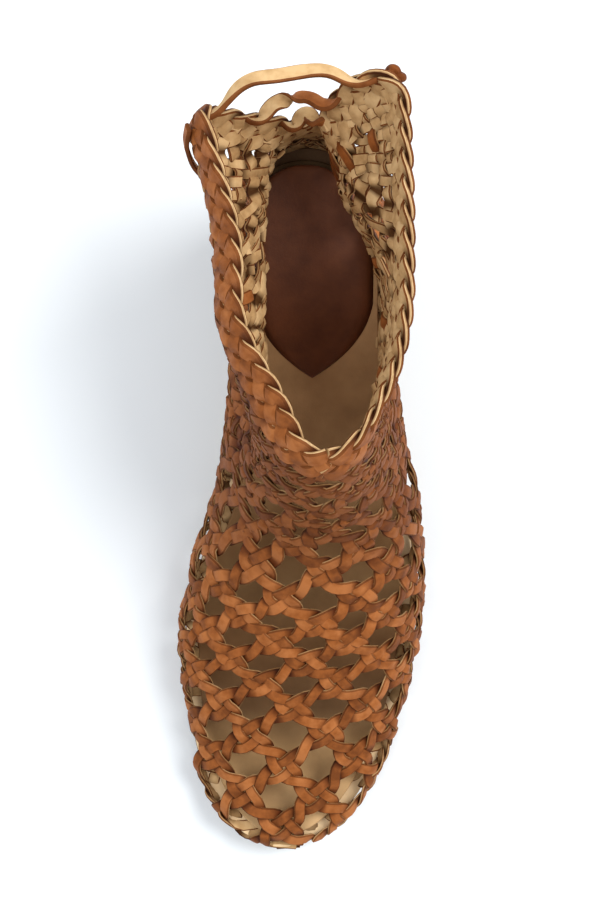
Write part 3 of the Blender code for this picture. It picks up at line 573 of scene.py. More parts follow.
class Surface:
    """The wall's middle surface over the weave's rows and columns, with its outward normals."""

    def __init__(self, first, last, wrapped):
        self.first, self.wrapped = first, wrapped
        self.rows = np.arange(first, last + GRID / 2, GRID)
        reach = SEAM_COLUMNS + SPARE_COLUMNS
        self.columns = np.arange(-reach, reach + GRID / 2, GRID)
        points = np.array([self.row_points(min(row, last - 1e-6)) for row in self.rows])
        kernel = np.exp(-((np.arange(-3, 4) * GRID / SMOOTHING) ** 2))
        kernel /= kernel.sum()
        padded = np.pad(points, ((0, 0), (3, 3), (0, 0)), mode="edge")
        self.points = sum(share * padded[:, k : k + points.shape[1]] for k, share in enumerate(kernel))
        by_row = np.gradient(self.points, axis=0)
        by_column = np.gradient(self.points, axis=1)
        normals = np.cross(by_column, by_row)
        self.normals = normals / np.maximum(np.linalg.norm(normals, axis=2), 1e-9)[..., None]
        self.by_row, self.by_column = by_row / GRID, by_column / GRID

    def row_points(self, row):
        """The points of one row; below the seam the columns past the wall's foot run in over the sole."""
        points = np.empty((len(self.columns), 3))
        columns = self.columns
        if self.wrapped:
            past = columns - 2 * SEAM_COLUMNS * np.sign(columns)
            columns = np.where(np.abs(columns) > SEAM_COLUMNS, past, columns)
        inward = edge_inward(row)
        for side in (MEDIAL, LATERAL):
            mine = (columns < 0) == (side == MEDIAL)
            t, along = section_length(row, side)
            distance = np.abs(columns[mine]) * column_pitch(row, along[-1])
            if self.wrapped:
                points[mine] = wall_point(row, np.interp(distance, along, t), side)
                continue
            end = along[-1] - TURN_HEIGHT
            foot = wall_point(row, np.interp(np.minimum(distance, end), along, t), side)
            points[mine] = foot + inward[side] * np.maximum(distance - end, 0)[:, None]
        return points

    def at(self, rows, columns, field):
        """A field on the surface, such as its points, at these places."""
        field = getattr(self, field)
        r = np.clip((rows - self.first) / GRID, 0, len(self.rows) - 1.001)
        c = np.clip((columns - self.columns[0]) / GRID, 0, len(self.columns) - 1.001)
        i, j = r.astype(int), c.astype(int)
        u, v = (r - i)[:, None], (c - j)[:, None]
        low = field[i, j] * (1 - v) + field[i, j + 1] * v
        high = field[i + 1, j] * (1 - v) + field[i + 1, j + 1] * v
        return low * (1 - u) + high * u


LOWER = Surface(-1.0, SEAM_ROW, wrapped=False)
SHAFT_SURFACE = Surface(SEAM_ROW, SECTIONS[-1][0], wrapped=True)


def on_wall(rows, columns):
    """Point, normal and both directions of the weave at these places."""
    parts = []
    for field in ("points", "normals", "by_row", "by_column"):
        lower = LOWER.at(rows, columns, field)
        upper = SHAFT_SURFACE.at(rows, columns, field)
        parts.append(np.where((rows < SEAM_ROW)[:, None], lower, upper))
    return parts


# ---------------------------------------------------------------- materials

def node_material(name, roughness):
    made = bpy.data.materials.new(name)
    made.use_nodes = True
    tree = made.node_tree
    shader = tree.nodes["Principled BSDF"]
    shader.inputs["Roughness"].default_value = roughness
    return made, tree, shader


def noise(tree, scale, detail=4.0):
    """A noise over the object's own space; scale counts features per metre."""
    where = tree.nodes.new("ShaderNodeTexCoord")
    texture = tree.nodes.new("ShaderNodeTexNoise")
    texture.inputs["Scale"].default_value = scale
    texture.inputs["Detail"].default_value = detail
    texture.inputs["Roughness"].default_value = 0.55
    tree.links.new(where.outputs["Object"], texture.inputs["Vector"])
    return texture.outputs["Fac"]


def ramp(tree, source, stops):
    """A color for each value of the source, from places and colors."""
    made = tree.nodes.new("ShaderNodeValToRGB")
    elements = made.color_ramp.elements
    while len(elements) < len(stops):
        elements.new(0.5)
    for element, (place, color) in zip(elements, stops):
        element.position = place
        element.color = (*color, 1)
    tree.links.new(source, made.inputs["Fac"])
    return made.outputs["Color"]


def mixed(tree, first, second, share, mode="MIX"):
    """A mix of two colors; each of the three is a socket or a value."""
    made = tree.nodes.new("ShaderNodeMix")
    made.data_type = "RGBA"
    made.blend_type = mode
    sources = {"Factor": share, "A": first, "B": second}
    for name, source in sources.items():
        socket = made.inputs[name]
        if isinstance(source, bpy.types.NodeSocket):
            tree.links.new(source, socket)
        elif isinstance(source, tuple):
            socket.default_value = (*source, 1)
        else:
            socket.default_value = source
    return made.outputs["Result"]


def add_bump(tree, shader, heights, distance, strength):
    """Bump from the sum of the heights, each a socket and its share."""
    total = None
    for source, share in heights:
        scaled = tree.nodes.new("ShaderNodeMath")
        scaled.operation = "MULTIPLY_ADD" if total else "MULTIPLY"
        tree.links.new(source, scaled.inputs[0])
        scaled.inputs[1].default_value = share
        if total:
            tree.links.new(total, scaled.inputs[2])
        total = scaled.outputs[0]
    bump = tree.nodes.new("ShaderNodeBump")
    bump.inputs["Distance"].default_value = distance
    bump.inputs["Strength"].default_value = strength
    tree.links.new(total, bump.inputs["Height"])
    tree.links.new(bump.outputs["Normal"], shader.inputs["Normal"])


def attribute(tree, name):
    made = tree.nodes.new("ShaderNodeAttribute")
    made.attribute_name = name
    return made.outputs["Fac"]


def share_along(tree, start, end):
    """0 to 1 between two places along Y, in metres."""
    where = tree.nodes.new("ShaderNodeTexCoord")
    parts = tree.nodes.new("ShaderNodeSeparateXYZ")
    tree.links.new(where.outputs["Object"], parts.inputs["Vector"])
    share = tree.nodes.new("ShaderNodeMapRange")
    share.inputs["From Min"].default_value = start
    share.inputs["From Max"].default_value = end
    tree.links.new(parts.outputs["Y"], share.inputs["Value"])
    return share.outputs["Result"]


def leather_grain(tree, shader, fine, coarse, share, distance, strength, specular):
    """Fine pores and coarser creases, counted per metre, and the sheen."""
    heights = (noise(tree, fine, 3.0), share), (noise(tree, coarse), 1 - share)
    add_bump(tree, shader, heights, distance, strength)
    shader.inputs["Specular IOR Level"].default_value = specular


def strip_leather(name, dark, middle, light, roughness, shade):
    """Leather that varies from strip to strip and along each, with painted shade where another strip crosses
    it.
    """
    made, tree, shader = node_material(name, roughness)
    tone = tree.nodes.new("ShaderNodeMath")
    tone.operation = "MULTIPLY_ADD"
    tree.links.new(attribute(tree, "strip"), tone.inputs[0])
    tone.inputs[1].default_value = 0.5
    tree.links.new(noise(tree, 260.0, 3.0), tone.inputs[2])
    color = ramp(tree, tone.outputs[0], ((0.40, dark), (0.72, middle), (1.05, light)))
    # painted shade: the shade color multiplied in as far as another strip crosses this one
    color = mixed(tree, color, shade, attribute(tree, "painted_shade"), "MULTIPLY")
    tree.links.new(color, shader.inputs["Base Color"])
    leather_grain(tree, shader, fine=2600.0, coarse=700.0, share=0.35,
                  distance=0.00022, strength=0.5, specular=0.07)
    return made


def sole_leather(name, base, dark, roughness, spots=70.0, heel=None):
    """Spotted leather, which may turn to another color at the heel; on the lasting margin that color is
    painted shade.
    """
    made, tree, shader = node_material(name, roughness)
    color = ramp(tree, noise(tree, spots), ((0.30, dark), (0.68, base)))
    if heel:
        # painted shade at the heel, where a heel color is given
        color = mixed(tree, color, heel, share_along(tree, *MARGIN_HEEL_SHADE))
    tree.links.new(color, shader.inputs["Base Color"])
    leather_grain(tree, shader, fine=1500.0, coarse=300.0, share=0.5,
                  distance=0.0003, strength=0.35, specular=0.2)
    return made


def insole_finish():
    """Natural leather with painted light and shade along its length: light under the toe's tip, dark where
    the toes press (painted shade and wear) and behind the heel pad (painted shade).
    """
    made, tree, shader = node_material("insole_natural", roughness=0.8)
    # painted light and shade along Y, from the toe to the heel
    color = ramp(tree, share_along(tree, INSOLE_TONES_FROM, INSOLE_TONES_TO), INSOLE_TONES)
    spots = ramp(tree, noise(tree, 60.0), ((0.3, (0.70, 0.68, 0.66)), (0.7, (1.0, 1.0, 1.0))))
    color = mixed(tree, color, spots, 1.0, "MULTIPLY")
    tree.links.new(color, shader.inputs["Base Color"])
    leather_grain(tree, shader, fine=1800.0, coarse=350.0, share=0.5,
                  distance=0.0003, strength=0.35, specular=0.1)
    return made


def pad_finish():
    """Worn dark leather, with faint ripples across."""
    made, tree, shader = node_material("pad_brown", roughness=0.62)
    tones = (0.3, (0.125, 0.036, 0.013)), (0.7, (0.185, 0.055, 0.019))
    color = ramp(tree, noise(tree, 120.0, 5.0), tones)
    tree.links.new(color, shader.inputs["Base Color"])
    where = tree.nodes.new("ShaderNodeTexCoord")
    wave = tree.nodes.new("ShaderNodeTexWave")
    wave.bands_direction = "Y"
    wave.inputs["Scale"].default_value = 9.0
    wave.inputs["Distortion"].default_value = 3.0
    tree.links.new(where.outputs["Object"], wave.inputs["Vector"])
    heights = (noise(tree, 1500.0), 0.4), (wave.outputs["Fac"], 0.6)
    add_bump(tree, shader, heights, distance=0.0006, strength=0.35)
    shader.inputs["Specular IOR Level"].default_value = 0.3
    return made


GRAIN = strip_leather("woven_grain", (0.15, 0.044, 0.011), (0.275, 0.084, 0.020), (0.385, 0.135, 0.040),
                      roughness=0.55, shade=(0.19, 0.10, 0.06))
# dark edge leather: the strips' burnished edges, and painted shade of the gaps between strips on their lower
# bevels
EDGE = strip_leather("woven_edge", (0.09, 0.026, 0.007), (0.15, 0.046, 0.012), (0.21, 0.07, 0.02),
                     roughness=0.65, shade=(0.25, 0.2, 0.18))
FLESH = strip_leather("woven_flesh", (0.34, 0.19, 0.078), (0.52, 0.32, 0.145), (0.66, 0.44, 0.22),
                      roughness=0.8, shade=(0.13, 0.08, 0.05))
CUT = strip_leather("woven_cut_edge", (0.32, 0.17, 0.065), (0.46, 0.265, 0.11), (0.60, 0.38, 0.18),
                    roughness=0.75, shade=(0.25, 0.17, 0.13))
RIM_CUT = strip_leather("plait_cut_edge", (0.50, 0.31, 0.14), (0.68, 0.45, 0.22), (0.78, 0.55, 0.29),
                        roughness=0.75, shade=(0.25, 0.17, 0.13))
STRIP_FINISH = (GRAIN, EDGE, FLESH, CUT)
PLAIT_FINISH = (GRAIN, EDGE, FLESH, RIM_CUT)
LACE_FINISH = (GRAIN, EDGE, FLESH, EDGE)


# ---------------------------------------------------------------- meshes

def add_mesh(name, points, faces, finish, sharp):
    """An object from points in millimetres; its edges over sharp degrees stay sharp."""
    mesh = bpy.data.meshes.new(name)
    mesh.from_pydata((np.asarray(points) * MM).tolist(), [], faces)
    for material in finish:
        mesh.materials.append(material)
    work = bmesh.new()
    work.from_mesh(mesh)
    bmesh.ops.recalc_face_normals(work, faces=work.faces)
    work.to_mesh(mesh)
    work.free()
    mesh.shade_smooth()
    mesh.set_sharp_from_angle(angle=math.radians(sharp))
    made = bpy.data.objects.new(name, mesh)
    bpy.context.scene.collection.objects.link(made)
    return made


def strand_faces(start, sections, corners):
    """Faces of a strand through sections of so many corners, and of its two ends."""
    ids = start + np.arange(sections * corners).reshape(sections, corners)
    turned = np.roll(ids, -1, axis=1)
    quads = np.stack([ids[:-1], turned[:-1], turned[1:], ids[1:]], axis=-1).reshape(-1, 4).tolist()
    return quads + [ids[0, ::-1].tolist(), ids[-1].tolist()]


def skin(name, rings, finish, marks, sharp, across=0):
    """A closed piece through rings of points; marks gives the finish of each step. The end rings are closed
    from side to side, beginning at their first point (across 0) or at the edge that ends in it (across 1)."""
    count = len(rings[0])
    points = [point for ring in rings for point in ring]
    starts = range(0, len(points), count)
    faces, marked = [], []
    for a, b, mark in zip(starts, starts[1:], marks):
        faces += [(a + j, a + (j + 1) % count, b + (j + 1) % count, b + j) for j in range(count)]
        marked += [mark] * count
    for start, mark in ((starts[0], marks[0]), (starts[-1], marks[-1])):
        for j in range((count - across) // 2):
            k = count - across - j
            corners = start + j, start + j + 1, start + (k - 1) % count, start + k % count
            corners = dict.fromkeys(corners)
            if len(corners) > 2:
                faces.append(tuple(corners))
                marked.append(mark)
    made = add_mesh(name, points, faces, finish, sharp)
    made.data.polygons.foreach_set("material_index", marked)
    return made


def belongs(piece, stands_for):
    """Ties a piece to the root body and hides the solid that it stands for."""
    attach(piece, "root")
    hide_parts(stands_for)


# ---------------------------------------------------------------- strips

# A strip's section, in half widths and half thicknesses, grain side up, and the finish of each of its sides.
SECTION_SHAPE = np.array([
    (-0.80, 1.00), (0.0, 1.16), (0.80, 1.00), (1.00, 0.20), (1.00, -0.55),
    (0.82, -1.00), (0.0, -1.10), (-0.82, -1.00), (-1.00, -0.55), (-1.00, 0.20),
])
# the lower bevels take the dark edge leather as painted shade of the gaps between strips, seen from inside
SIDE_FINISH = (0, 0, 1, 3, 1, 2, 2, 1, 3, 1)
END_FINISH = 3


class Strips:
    """Collects strips of leather for one joined mesh."""

    def __init__(self, name):
        self.name = name
        self.points, self.faces, self.finish, self.strip, self.painted_shade = [], [], [], [], []
        self.count = 0

    def add(self, middles, normals, widths, thickness, tone, painted_shade, painted_flesh_shade=None):
        """A strip along middles, its grain side towards normals. The last two arguments say how far another
        strip lies on its grain side and on its flesh side, and so how much painted shade each side gets."""
        runs = unit(np.gradient(middles, axis=0))
        across = unit(np.cross(runs, normals))
        up = np.cross(across, runs)
        up *= np.sign(np.sum(up * normals, axis=1))[:, None]
        widths = np.broadcast_to(widths, len(middles))
        wide = SECTION_SHAPE[None, :, 0, None] * across[:, None, :] * (widths[:, None, None] / 2)
        thick = SECTION_SHAPE[None, :, 1, None] * up[:, None, :] * (thickness / 2)
        rings = middles[:, None, :] + wide + thick
        n, k = len(middles), len(SECTION_SHAPE)
        self.points.append(rings.reshape(-1, 3))
        self.faces += strand_faces(self.count, n, k)
        self.finish += list(SIDE_FINISH) * (n - 1) + [END_FINISH] * 2
        self.strip.append(np.full(n * k, tone))
        painted_flesh_shade = painted_shade if painted_flesh_shade is None else painted_flesh_shade
        # painted shade: grain-side corners take the first value, flesh-side corners the second
        self.painted_shade.append(np.where(SECTION_SHAPE[:, 1] > 0, painted_shade[:, None], painted_flesh_shade[:, None]).ravel())
        self.count += n * k

    def build(self, finish=STRIP_FINISH):
        """The object, with how its strips differ and their painted shade as attributes."""
        made = add_mesh(self.name, np.concatenate(self.points), self.faces, finish, sharp=38.0)
        made.data.polygons.foreach_set("material_index", self.finish)
        for name, values in (("strip", self.strip), ("painted_shade", self.painted_shade)):
            layer = made.data.attributes.new(name, "FLOAT", "POINT")
            layer.data.foreach_set("value", np.concatenate(values).astype(np.float32))
        return made


def smooth_wave(values, places, heights):
    """Heights between the given places, along rounded steps."""
    k = np.clip(np.searchsorted(places, values, side="right") - 1, 0, len(places) - 2)
    u = (values - places[k]) / (places[k + 1] - places[k])
    return heights[k] + (heights[k + 1] - heights[k]) * (1 - np.cos(np.pi * u)) / 2


def roll(normals, runs, angles):
    """Normals turned about the runs."""
    beside = np.cross(normals, runs)
    return normals * np.cos(angles)[:, None] + beside * np.sin(angles)[:, None]


# ---------------------------------------------------------------- weave

def crowding(rows, columns):
    """1 where the strips are crowded in the throat, 0 elsewhere."""
    return ease(rows, *CROWD_ROWS) * (1 - ease(np.abs(columns), *CROWD_SIDES))


def dense_share(rows, columns):
    """How nearly closed the weave is."""
    return ease(rows + DENSE_LOWER * ease(np.abs(columns), *DENSE_SIDES), *DENSE_ROWS)


def jitter(rows, columns):
    """The hand's unevenness, in rows and columns; it is greatest where the strips are crowded."""
    crowd = 1 + CROWD_UNEVEN * crowding(rows, columns)
    return [
        crowd * sum(size * np.sin(a * rows + b * columns + start) for size, a, b, start in waves)
        for waves in (UNEVEN_ROWS, UNEVEN_COLUMNS)
    ]


def notch_outline():
    """The line, seen from behind, that the weave ends at beside the notch."""
    line = []
    path = band_path(step=2.0)
    for before, place, after in zip(path, path[1:], path[2:]):
        if abs(place[0]) < NOTCH_MEDIAL + 2 * BAND_WIDTH and place[1] > BAND_WIDTH / 2 - 1:
            way = unit(after - before)
            across = np.array([-way[1], way[0]])
            point = COLLAR.point(*(place + across * (BAND_WIDTH / 2 - UNDER_BAND)))
            line.append((point[0], point[2]))
    return np.array(line)


NOTCH_LINE = notch_outline()


def inside(points, outline):
    """Which of the points lie inside the closed outline."""
    result = np.zeros(len(points), bool)
    for (x0, z0), (x1, z1) in zip(outline, np.roll(outline, -1, axis=0)):
        crosses = (z0 > points[:, 1]) != (z1 > points[:, 1])
        with np.errstate(divide="ignore", invalid="ignore"):
            x = x0 + (points[:, 1] - z0) * (x1 - x0) / (z1 - z0)
        result ^= crosses & (points[:, 0] < x)
    return result


def run_and_spacing(rows, columns, lean):
    """The direction of the strips at these places, and how far their lines lie apart there."""
    reach = SEAM_COLUMNS + SPARE_COLUMNS - GRID
    _, _, by_row, by_column = on_wall(rows, np.clip(columns, -reach, reach))
    run = unit(-by_row + lean * by_column)
    aside = by_row + lean * by_column
    return run, np.linalg.norm(aside - run * np.sum(aside * run, axis=1)[:, None], axis=1) / 2


def sides_at_nodes(nodes, partner, dense_at):
    """Which side of its line a strip starts from at each crossing, as 1 or -1, and whether it swaps after it.
    It swaps wherever the weave is open."""
    side = 1.0 if (nodes[0] + partner) % 2 == 0 else -1.0
    sides, swaps = [], []
    for node in nodes:
        is_open = dense_at(node + 0.5) < IS_DENSE
        sides.append(side)
        swaps.append(is_open)
        side = -side if is_open else side
    return np.array(sides), np.array(swaps)


def open_height(rows, reach, nodes, sides, falling):
    """How high a strip lies in the open weave, from -1 under others to 1 over them."""
    places, heights = [], []
    for node, first in zip(nodes, sides > 0):
        near = float(np.interp(node, rows[::-1], reach[::-1])) / 2
        high = 1.0 if falling == first else -1.0
        places += [node - near, node + near, node + 0.5]
        heights += [high, -high, high]
    return smooth_wave(rows, np.array(places), np.array(heights))


def on_the_boot(rows, columns, moved_rows, moved_columns, point, edge_columns):
    """Which places of a strip lie inside the seam or the sole's edge, below the band and beside the notch."""
    shaft = (moved_rows >= SEAM_ROW) & (np.abs(columns) <= SEAM_COLUMNS + SEAM_OVERLAP)
    edge = np.where(columns < 0, edge_columns[MEDIAL](rows), edge_columns[LATERAL](rows))
    lower = (moved_rows < SEAM_ROW) & (np.abs(moved_columns) <= edge + TUCK_IN / COLUMN_PITCH)
    below_band = point[:, 2] < rim_z(point[:, 1], BAND_WIDTH - UNDER_BAND)
    in_notch = (point[:, 1] > NOTCH_TOOL_Y) & inside(point[:, [0, 2]], NOTCH_LINE)
    return (shaft | lower) & below_band & ~in_notch


def strip_tone(line, falling, partner):
    """A tone between 0 and 1 that differs from strip to strip and is the same in every run."""
    return (math.sin(line * 12.9898 + falling * 78.233 + partner * 37.719) * 43758.5453) % 1.0


def stretches(keep):
    """The stretches of places that are kept and long enough to be made."""
    ends = np.flatnonzero(np.diff(np.concatenate([[0], keep, [0]])))
    return [slice(start, end) for start, end in ends.reshape(-1, 2) if end - start > SHORTEST]


def weave_strip(strips, line, falling, partner, edge_columns):
    """One strip along a diagonal line of the weave. falling strips run down towards the lateral side (row +
    column is the line), the others down towards the medial side. The two partners of a line swap sides at
    every edge of the open weave; in the dense weave all strips lie evenly, and lines of their own come
    between."""
    between = line % 2 == 1
    lean = 1.0 if falling else -1.0
    rows = np.arange(SECTIONS[-1][0] - 0.02, FIRST_WEAVE_ROW, -STRIP_STEP)
    columns = line - rows if falling else rows - line
    run, apart = run_and_spacing(rows, columns, lean)
    spread = (apart - DENSE_APART[0]) / (DENSE_APART[1] - DENSE_APART[0])
    dense = dense_share(rows, columns) * np.clip(spread, 0, 1)
    if between and dense.max() < IS_DENSE:
        return
    crowd = crowding(rows, columns)

    # how far a pair's strips lie apart, and how wide they are
    reach = np.clip((STRIP_WIDTH + BALL_BROADER) / 2 * PAIR_SPACE / np.maximum(apart, 1e-6), *PAIR_REACH)
    reach = reach + (EVEN_REACH - reach) * dense
    broad = STRIP_WIDTH + BALL_BROADER * ease(rows, *BALL_ROWS) + SHAFT_BROADER * ease(rows, *SHAFT_ROWS)
    room = 2 * reach * apart * (ROOM_SHARE + CROWD_OVERLAP * crowd)
    width = np.minimum(broad, room) * (1 + UNEVEN_WIDTH * np.sin(1.9 * rows + 3.1 * line + 2.0 * partner))

    # where the strip lies on the wall, and how high
    nodes = np.arange(math.floor(FIRST_WEAVE_ROW) - 2, SECTIONS[-1][0] + 3)
    sides, swaps = sides_at_nodes(nodes, partner, lambda row: np.interp(row, rows[::-1], dense[::-1]))
    k = np.floor(rows).astype(int) - int(nodes[0])
    swap = ease(rows - np.floor(rows), 0.5 - SWAP_REACH, 0.5 + SWAP_REACH) * swaps[k]
    side = sides[k] * (1 - 2 * swap)
    moved_rows = rows + reach / 2 * side
    moved_columns = columns + lean * reach / 2 * side
    crossing = moved_rows - moved_columns if falling else moved_rows + moved_columns
    own = round((line + reach[0] * side[0] - EVEN_REACH) / (2 * EVEN_REACH))
    even = np.cos(math.pi * (crossing - EVEN_REACH) / (2 * EVEN_REACH)) * (-1) ** own * lean
    if between:
        height = even - BETWEEN_DEPTH * (1 - np.clip((dense - IS_DENSE) / BETWEEN_RISE, 0, 1))
    else:
        height = open_height(rows, reach, nodes, sides, falling)
        height = height + (even - height) * np.clip(dense * 2 - 0.5, 0, 1)
    more_rows, more_columns = jitter(moved_rows, moved_columns)
    moved_rows, moved_columns = moved_rows + more_rows, moved_columns + more_columns
    moved_columns = moved_columns * (1 - CROWD_SQUEEZE * crowding(moved_rows, moved_columns))
    point, normal, _, _ = on_wall(moved_rows, moved_columns)
    middles = point + normal * (height * STRIP_LIFT)[:, None]

    # how it leans, and its painted shade where other strips cross it
    leaning = ROLL + SHAFT_ROLL * ease(rows, *SHAFT_ROWS)
    leaning = leaning * np.sin(2.3 * rows + line + 1.7 * partner) * (1 - crowd) + CROWD_ROLL * lean * crowd
    rolled = roll(normal, run, np.radians(leaning))
    # painted shade on the grain side where it dips under another strip, more in the crowded throat, and on
    # the flesh side where it lies over one
    painted_shade = ease(-height, *GRAIN_SHADE_FROM)
    painted_shade = painted_shade + (1 - painted_shade) * CROWD_SHADE * crowd
    painted_flesh_shade = ease(height, *FLESH_SHADE_FROM)
    tone = strip_tone(line, falling, partner)

    keep = on_the_boot(rows, columns, moved_rows, moved_columns, point, edge_columns)
    if between:
        keep &= dense > IS_DENSE
    for k in stretches(keep):
        strips.add(middles[k], rolled[k], width[k], STRIP_THICKNESS, tone, painted_shade[k], painted_flesh_shade[k])


def edge_column_curves():
    """For each side, the column at which the wall meets the sole, by row."""
    rows = np.arange(-1, SEAM_ROW + 0.01, 0.25)
    curves = {}
    for side in (MEDIAL, LATERAL):
        lengths = [section_length(min(row, SEAM_ROW - 1e-6), side)[1][-1] for row in rows]
        reach = [length / column_pitch(row, length) for row, length in zip(rows, lengths)]
        curves[side] = lambda r, reach=reach: np.interp(r, rows, reach)
    return curves


def weave():
    """All strips of the weave, one piece for each of their two directions."""
    edges = edge_column_curves()
    for falling, name in ((True, "falling_strips"), (False, "rising_strips")):
        strips = Strips(name)
        for line in LINES:
            for partner in (0, 1):
                weave_strip(strips, line, falling, partner, edges)
        belongs(strips.build(), "upper")


def turned_strips():
    """The short stretches that are turned over, bulging in from the wall."""
    strips = Strips("turned_strips")
    for k, (start, end) in enumerate(TURNED):
        u = np.linspace(0, 1, TURNED_SECTIONS)
        rows, columns = (a + (b - a) * u for a, b in zip(start, end))
        point, normal, _, _ = on_wall(rows, columns)
        out = np.sin(math.pi * u)
        middles = point - normal * (TURNED_LIFT * out**TURNED_ROUND)[:, None]
        # painted shade towards both ends, where the stretch meets the wall
        strips.add(middles, -normal, STRIP_WIDTH, STRIP_THICKNESS, 0.2 + 0.1 * k, 0.7 * (1 - out))
    belongs(strips.build(), "upper")


# ---------------------------------------------------------------- collar plait

def averaged(points, count):
    """The points' moving mean over so many of them, with the two end points carried on."""
    padded = np.pad(points, ((count // 2, count // 2), (0, 0)), mode="edge")
    return np.stack([np.convolve(axis, np.ones(count) / count, "valid") for axis in padded.T], axis=1)


def plait():
    """The collar's flat plait, laid along the band's middle line."""
    path = band_path(step=0.5)
    along = distances(path)
    period = along[-1] / round(along[-1] / PLAIT_PERIOD)
    s = np.arange(0, along[-1] + PLAIT_STEP / 2, PLAIT_STEP)
    place = places_along(path, along, s)
    way = unit(averaged(np.gradient(place, axis=0), 5))
    across = np.stack([-way[:, 1], way[:, 0]], axis=1)
    # a strand goes over and under in turn at all its crossings, which leaves out the plait's two edges
    crossings = np.array([k for k in range(-1, 2 * PLAIT_STRANDS + 2) if k % PLAIT_STRANDS])
    heights = -((-1.0) ** np.arange(len(crossings)))
    strips = Strips("collar_plait")
    for strand in range(PLAIT_STRANDS):
        phase = (s / period + strand / PLAIT_STRANDS) % 1.0
        swing = np.where(phase < 0.5, -1 + 4 * phase, 3 - 4 * phase)
        swing = np.sin(swing * math.pi / 2 * PLAIT_ROUNDING) / math.sin(math.pi / 2 * PLAIT_ROUNDING)
        height = smooth_wave(phase, crossings / (2 * PLAIT_STRANDS), heights)
        spots = place + across * (swing * PLAIT_SWING)[:, None]
        normals = np.array([COLLAR.outward(*spot) for spot in spots])
        points = np.array([COLLAR.point(*spot) for spot in spots])
        middles = points + normals * (height * PLAIT_LIFT + PLAIT_OUT)[:, None]
        # painted shade where the strands cross
        painted_shade, painted_flesh_shade = ease(-height, *GRAIN_SHADE_FROM), ease(height, *FLESH_SHADE_FROM)
        tone = 0.3 + 0.15 * strand
        strips.add(middles, normals, PLAIT_STRAND_WIDTH, PLAIT_STRAND_THICKNESS, tone, painted_shade, painted_flesh_shade)
    belongs(strips.build(PLAIT_FINISH), "upper")


# ---------------------------------------------------------------- laces

def bar_route(medial_drop, lateral_drop, bulge, rise, count=49):
    """Middles of a lace across the notch and the collar's directions there."""
    rest = -(BAND_THICKNESS + LACE_THICKNESS) / 2 - LACE_GAP
    ends = lace_anchor(MEDIAL, medial_drop), lace_anchor(LATERAL, lateral_drop)
    seat = min(LACE_SEAT / (ends[1] - ends[0]), BAR_SEAT_MOST)
    first = BAR_START * seat
    middles, walls = [], []
    for u in np.linspace(first, 1 - first, count):
        around = ends[0] + (ends[1] - ends[0]) * u
        drop = medial_drop + (lateral_drop - medial_drop) * u
        between = min(max((u - seat) / (1 - 2 * seat), 0.0), 1.0)
        free = math.sin(math.pi * between**BAR_SKEW) ** BAR_ROUND
        off = rest * ease(min(u, 1 - u), first, seat) + (bulge - rest) * free
        normal = COLLAR.outward(around, drop)
        middles.append(COLLAR.point(around, drop) + normal * off + [0, 0, rise * free])
        walls.append(normal)
    middles = np.array(middles)
    for _ in range(BAR_SMOOTHINGS):
        middles[1:-1] = averaged(middles, BAR_AVERAGED)[1:-1]
    return middles, np.array(walls)


def lace_bar(name, medial_drop, lateral_drop, bulge, rise):
    """A flat lace across the notch, twisted on its way."""
    flat = LACE_FLATTER[name]
    middles, walls = bar_route(medial_drop, lateral_drop, bulge * flat, rise * flat)
    degrees = curve([("share", "turn"), *LACE_TWISTS[name]], "share", "turn")
    turn = np.radians([degrees(share) for share in np.linspace(0, 1, len(middles))])
    up = np.array([0, 0, 1.0])
    faces = -(walls * np.cos(turn)[:, None] + up * np.sin(turn)[:, None])
    width, thickness = LACE_WIDTH * BAR_BROADER, LACE_THICKNESS * BAR_THICKER
    strips = Strips(f"lace_across_{name}")
    strips.add(middles, faces, width, thickness, LACE_TONES[name], np.zeros(len(middles)))
    belongs(strips.build(LACE_FINISH), f"lace_bar_{name}")


def overhand_knot(name, middle, normal, down, size, stands_for, sections=90, corners=8):
    """A strip knotted on itself: a round strand along a figure-eight path, inside a box of the given size."""
    beside = unit(np.cross(down, normal))
    axes = np.array([beside, np.cross(beside, down), down])
    t = np.linspace(0, 2 * math.pi, sections)
    shape = [np.sin(t) + 2 * np.sin(2 * t), np.cos(t) - 2 * np.cos(2 * t), -1.25 * np.sin(3 * t)]
    shape = np.stack(shape, axis=1)
    shape /= np.abs(shape).max(axis=0)
    thick = min(size) * KNOT_STRAND
    route = middle + shape * (np.array(size) / 2 - thick) @ axes
    runs = unit(np.gradient(route, axis=0))
    aside = unit(np.cross(runs, [0.0, 0.0, 1.0]))
    up = np.cross(aside, runs)
    angles = np.arange(corners)[None, :, None] * 2 * math.pi / corners
    rings = route[:, None] + thick * (aside[:, None] * np.cos(angles) + up[:, None] * np.sin(angles))
    faces = strand_faces(0, sections, corners)
    made = add_mesh(name, rings.reshape(-1, 3), faces, [GRAIN], sharp=40.0)
    belongs(made, stands_for)
    return made


def lace_stops():
    """The knots outside the lateral band."""
    for name, row in zip(LACE_NAMES, LACES[1:]):
        drop = row[1]
        around = lace_anchor(LATERAL, drop)
        normal = COLLAR.outward(around, drop)
        middle = COLLAR.point(around, drop) + normal * ((BAND_THICKNESS + STOP_SIZE[1]) / 2 + GAP)
        down = np.array([0, 0, -1.0])
        overhand_knot(f"knot_outside_{name}", middle, normal, down, STOP_SIZE, f"lace_stop_{name}")


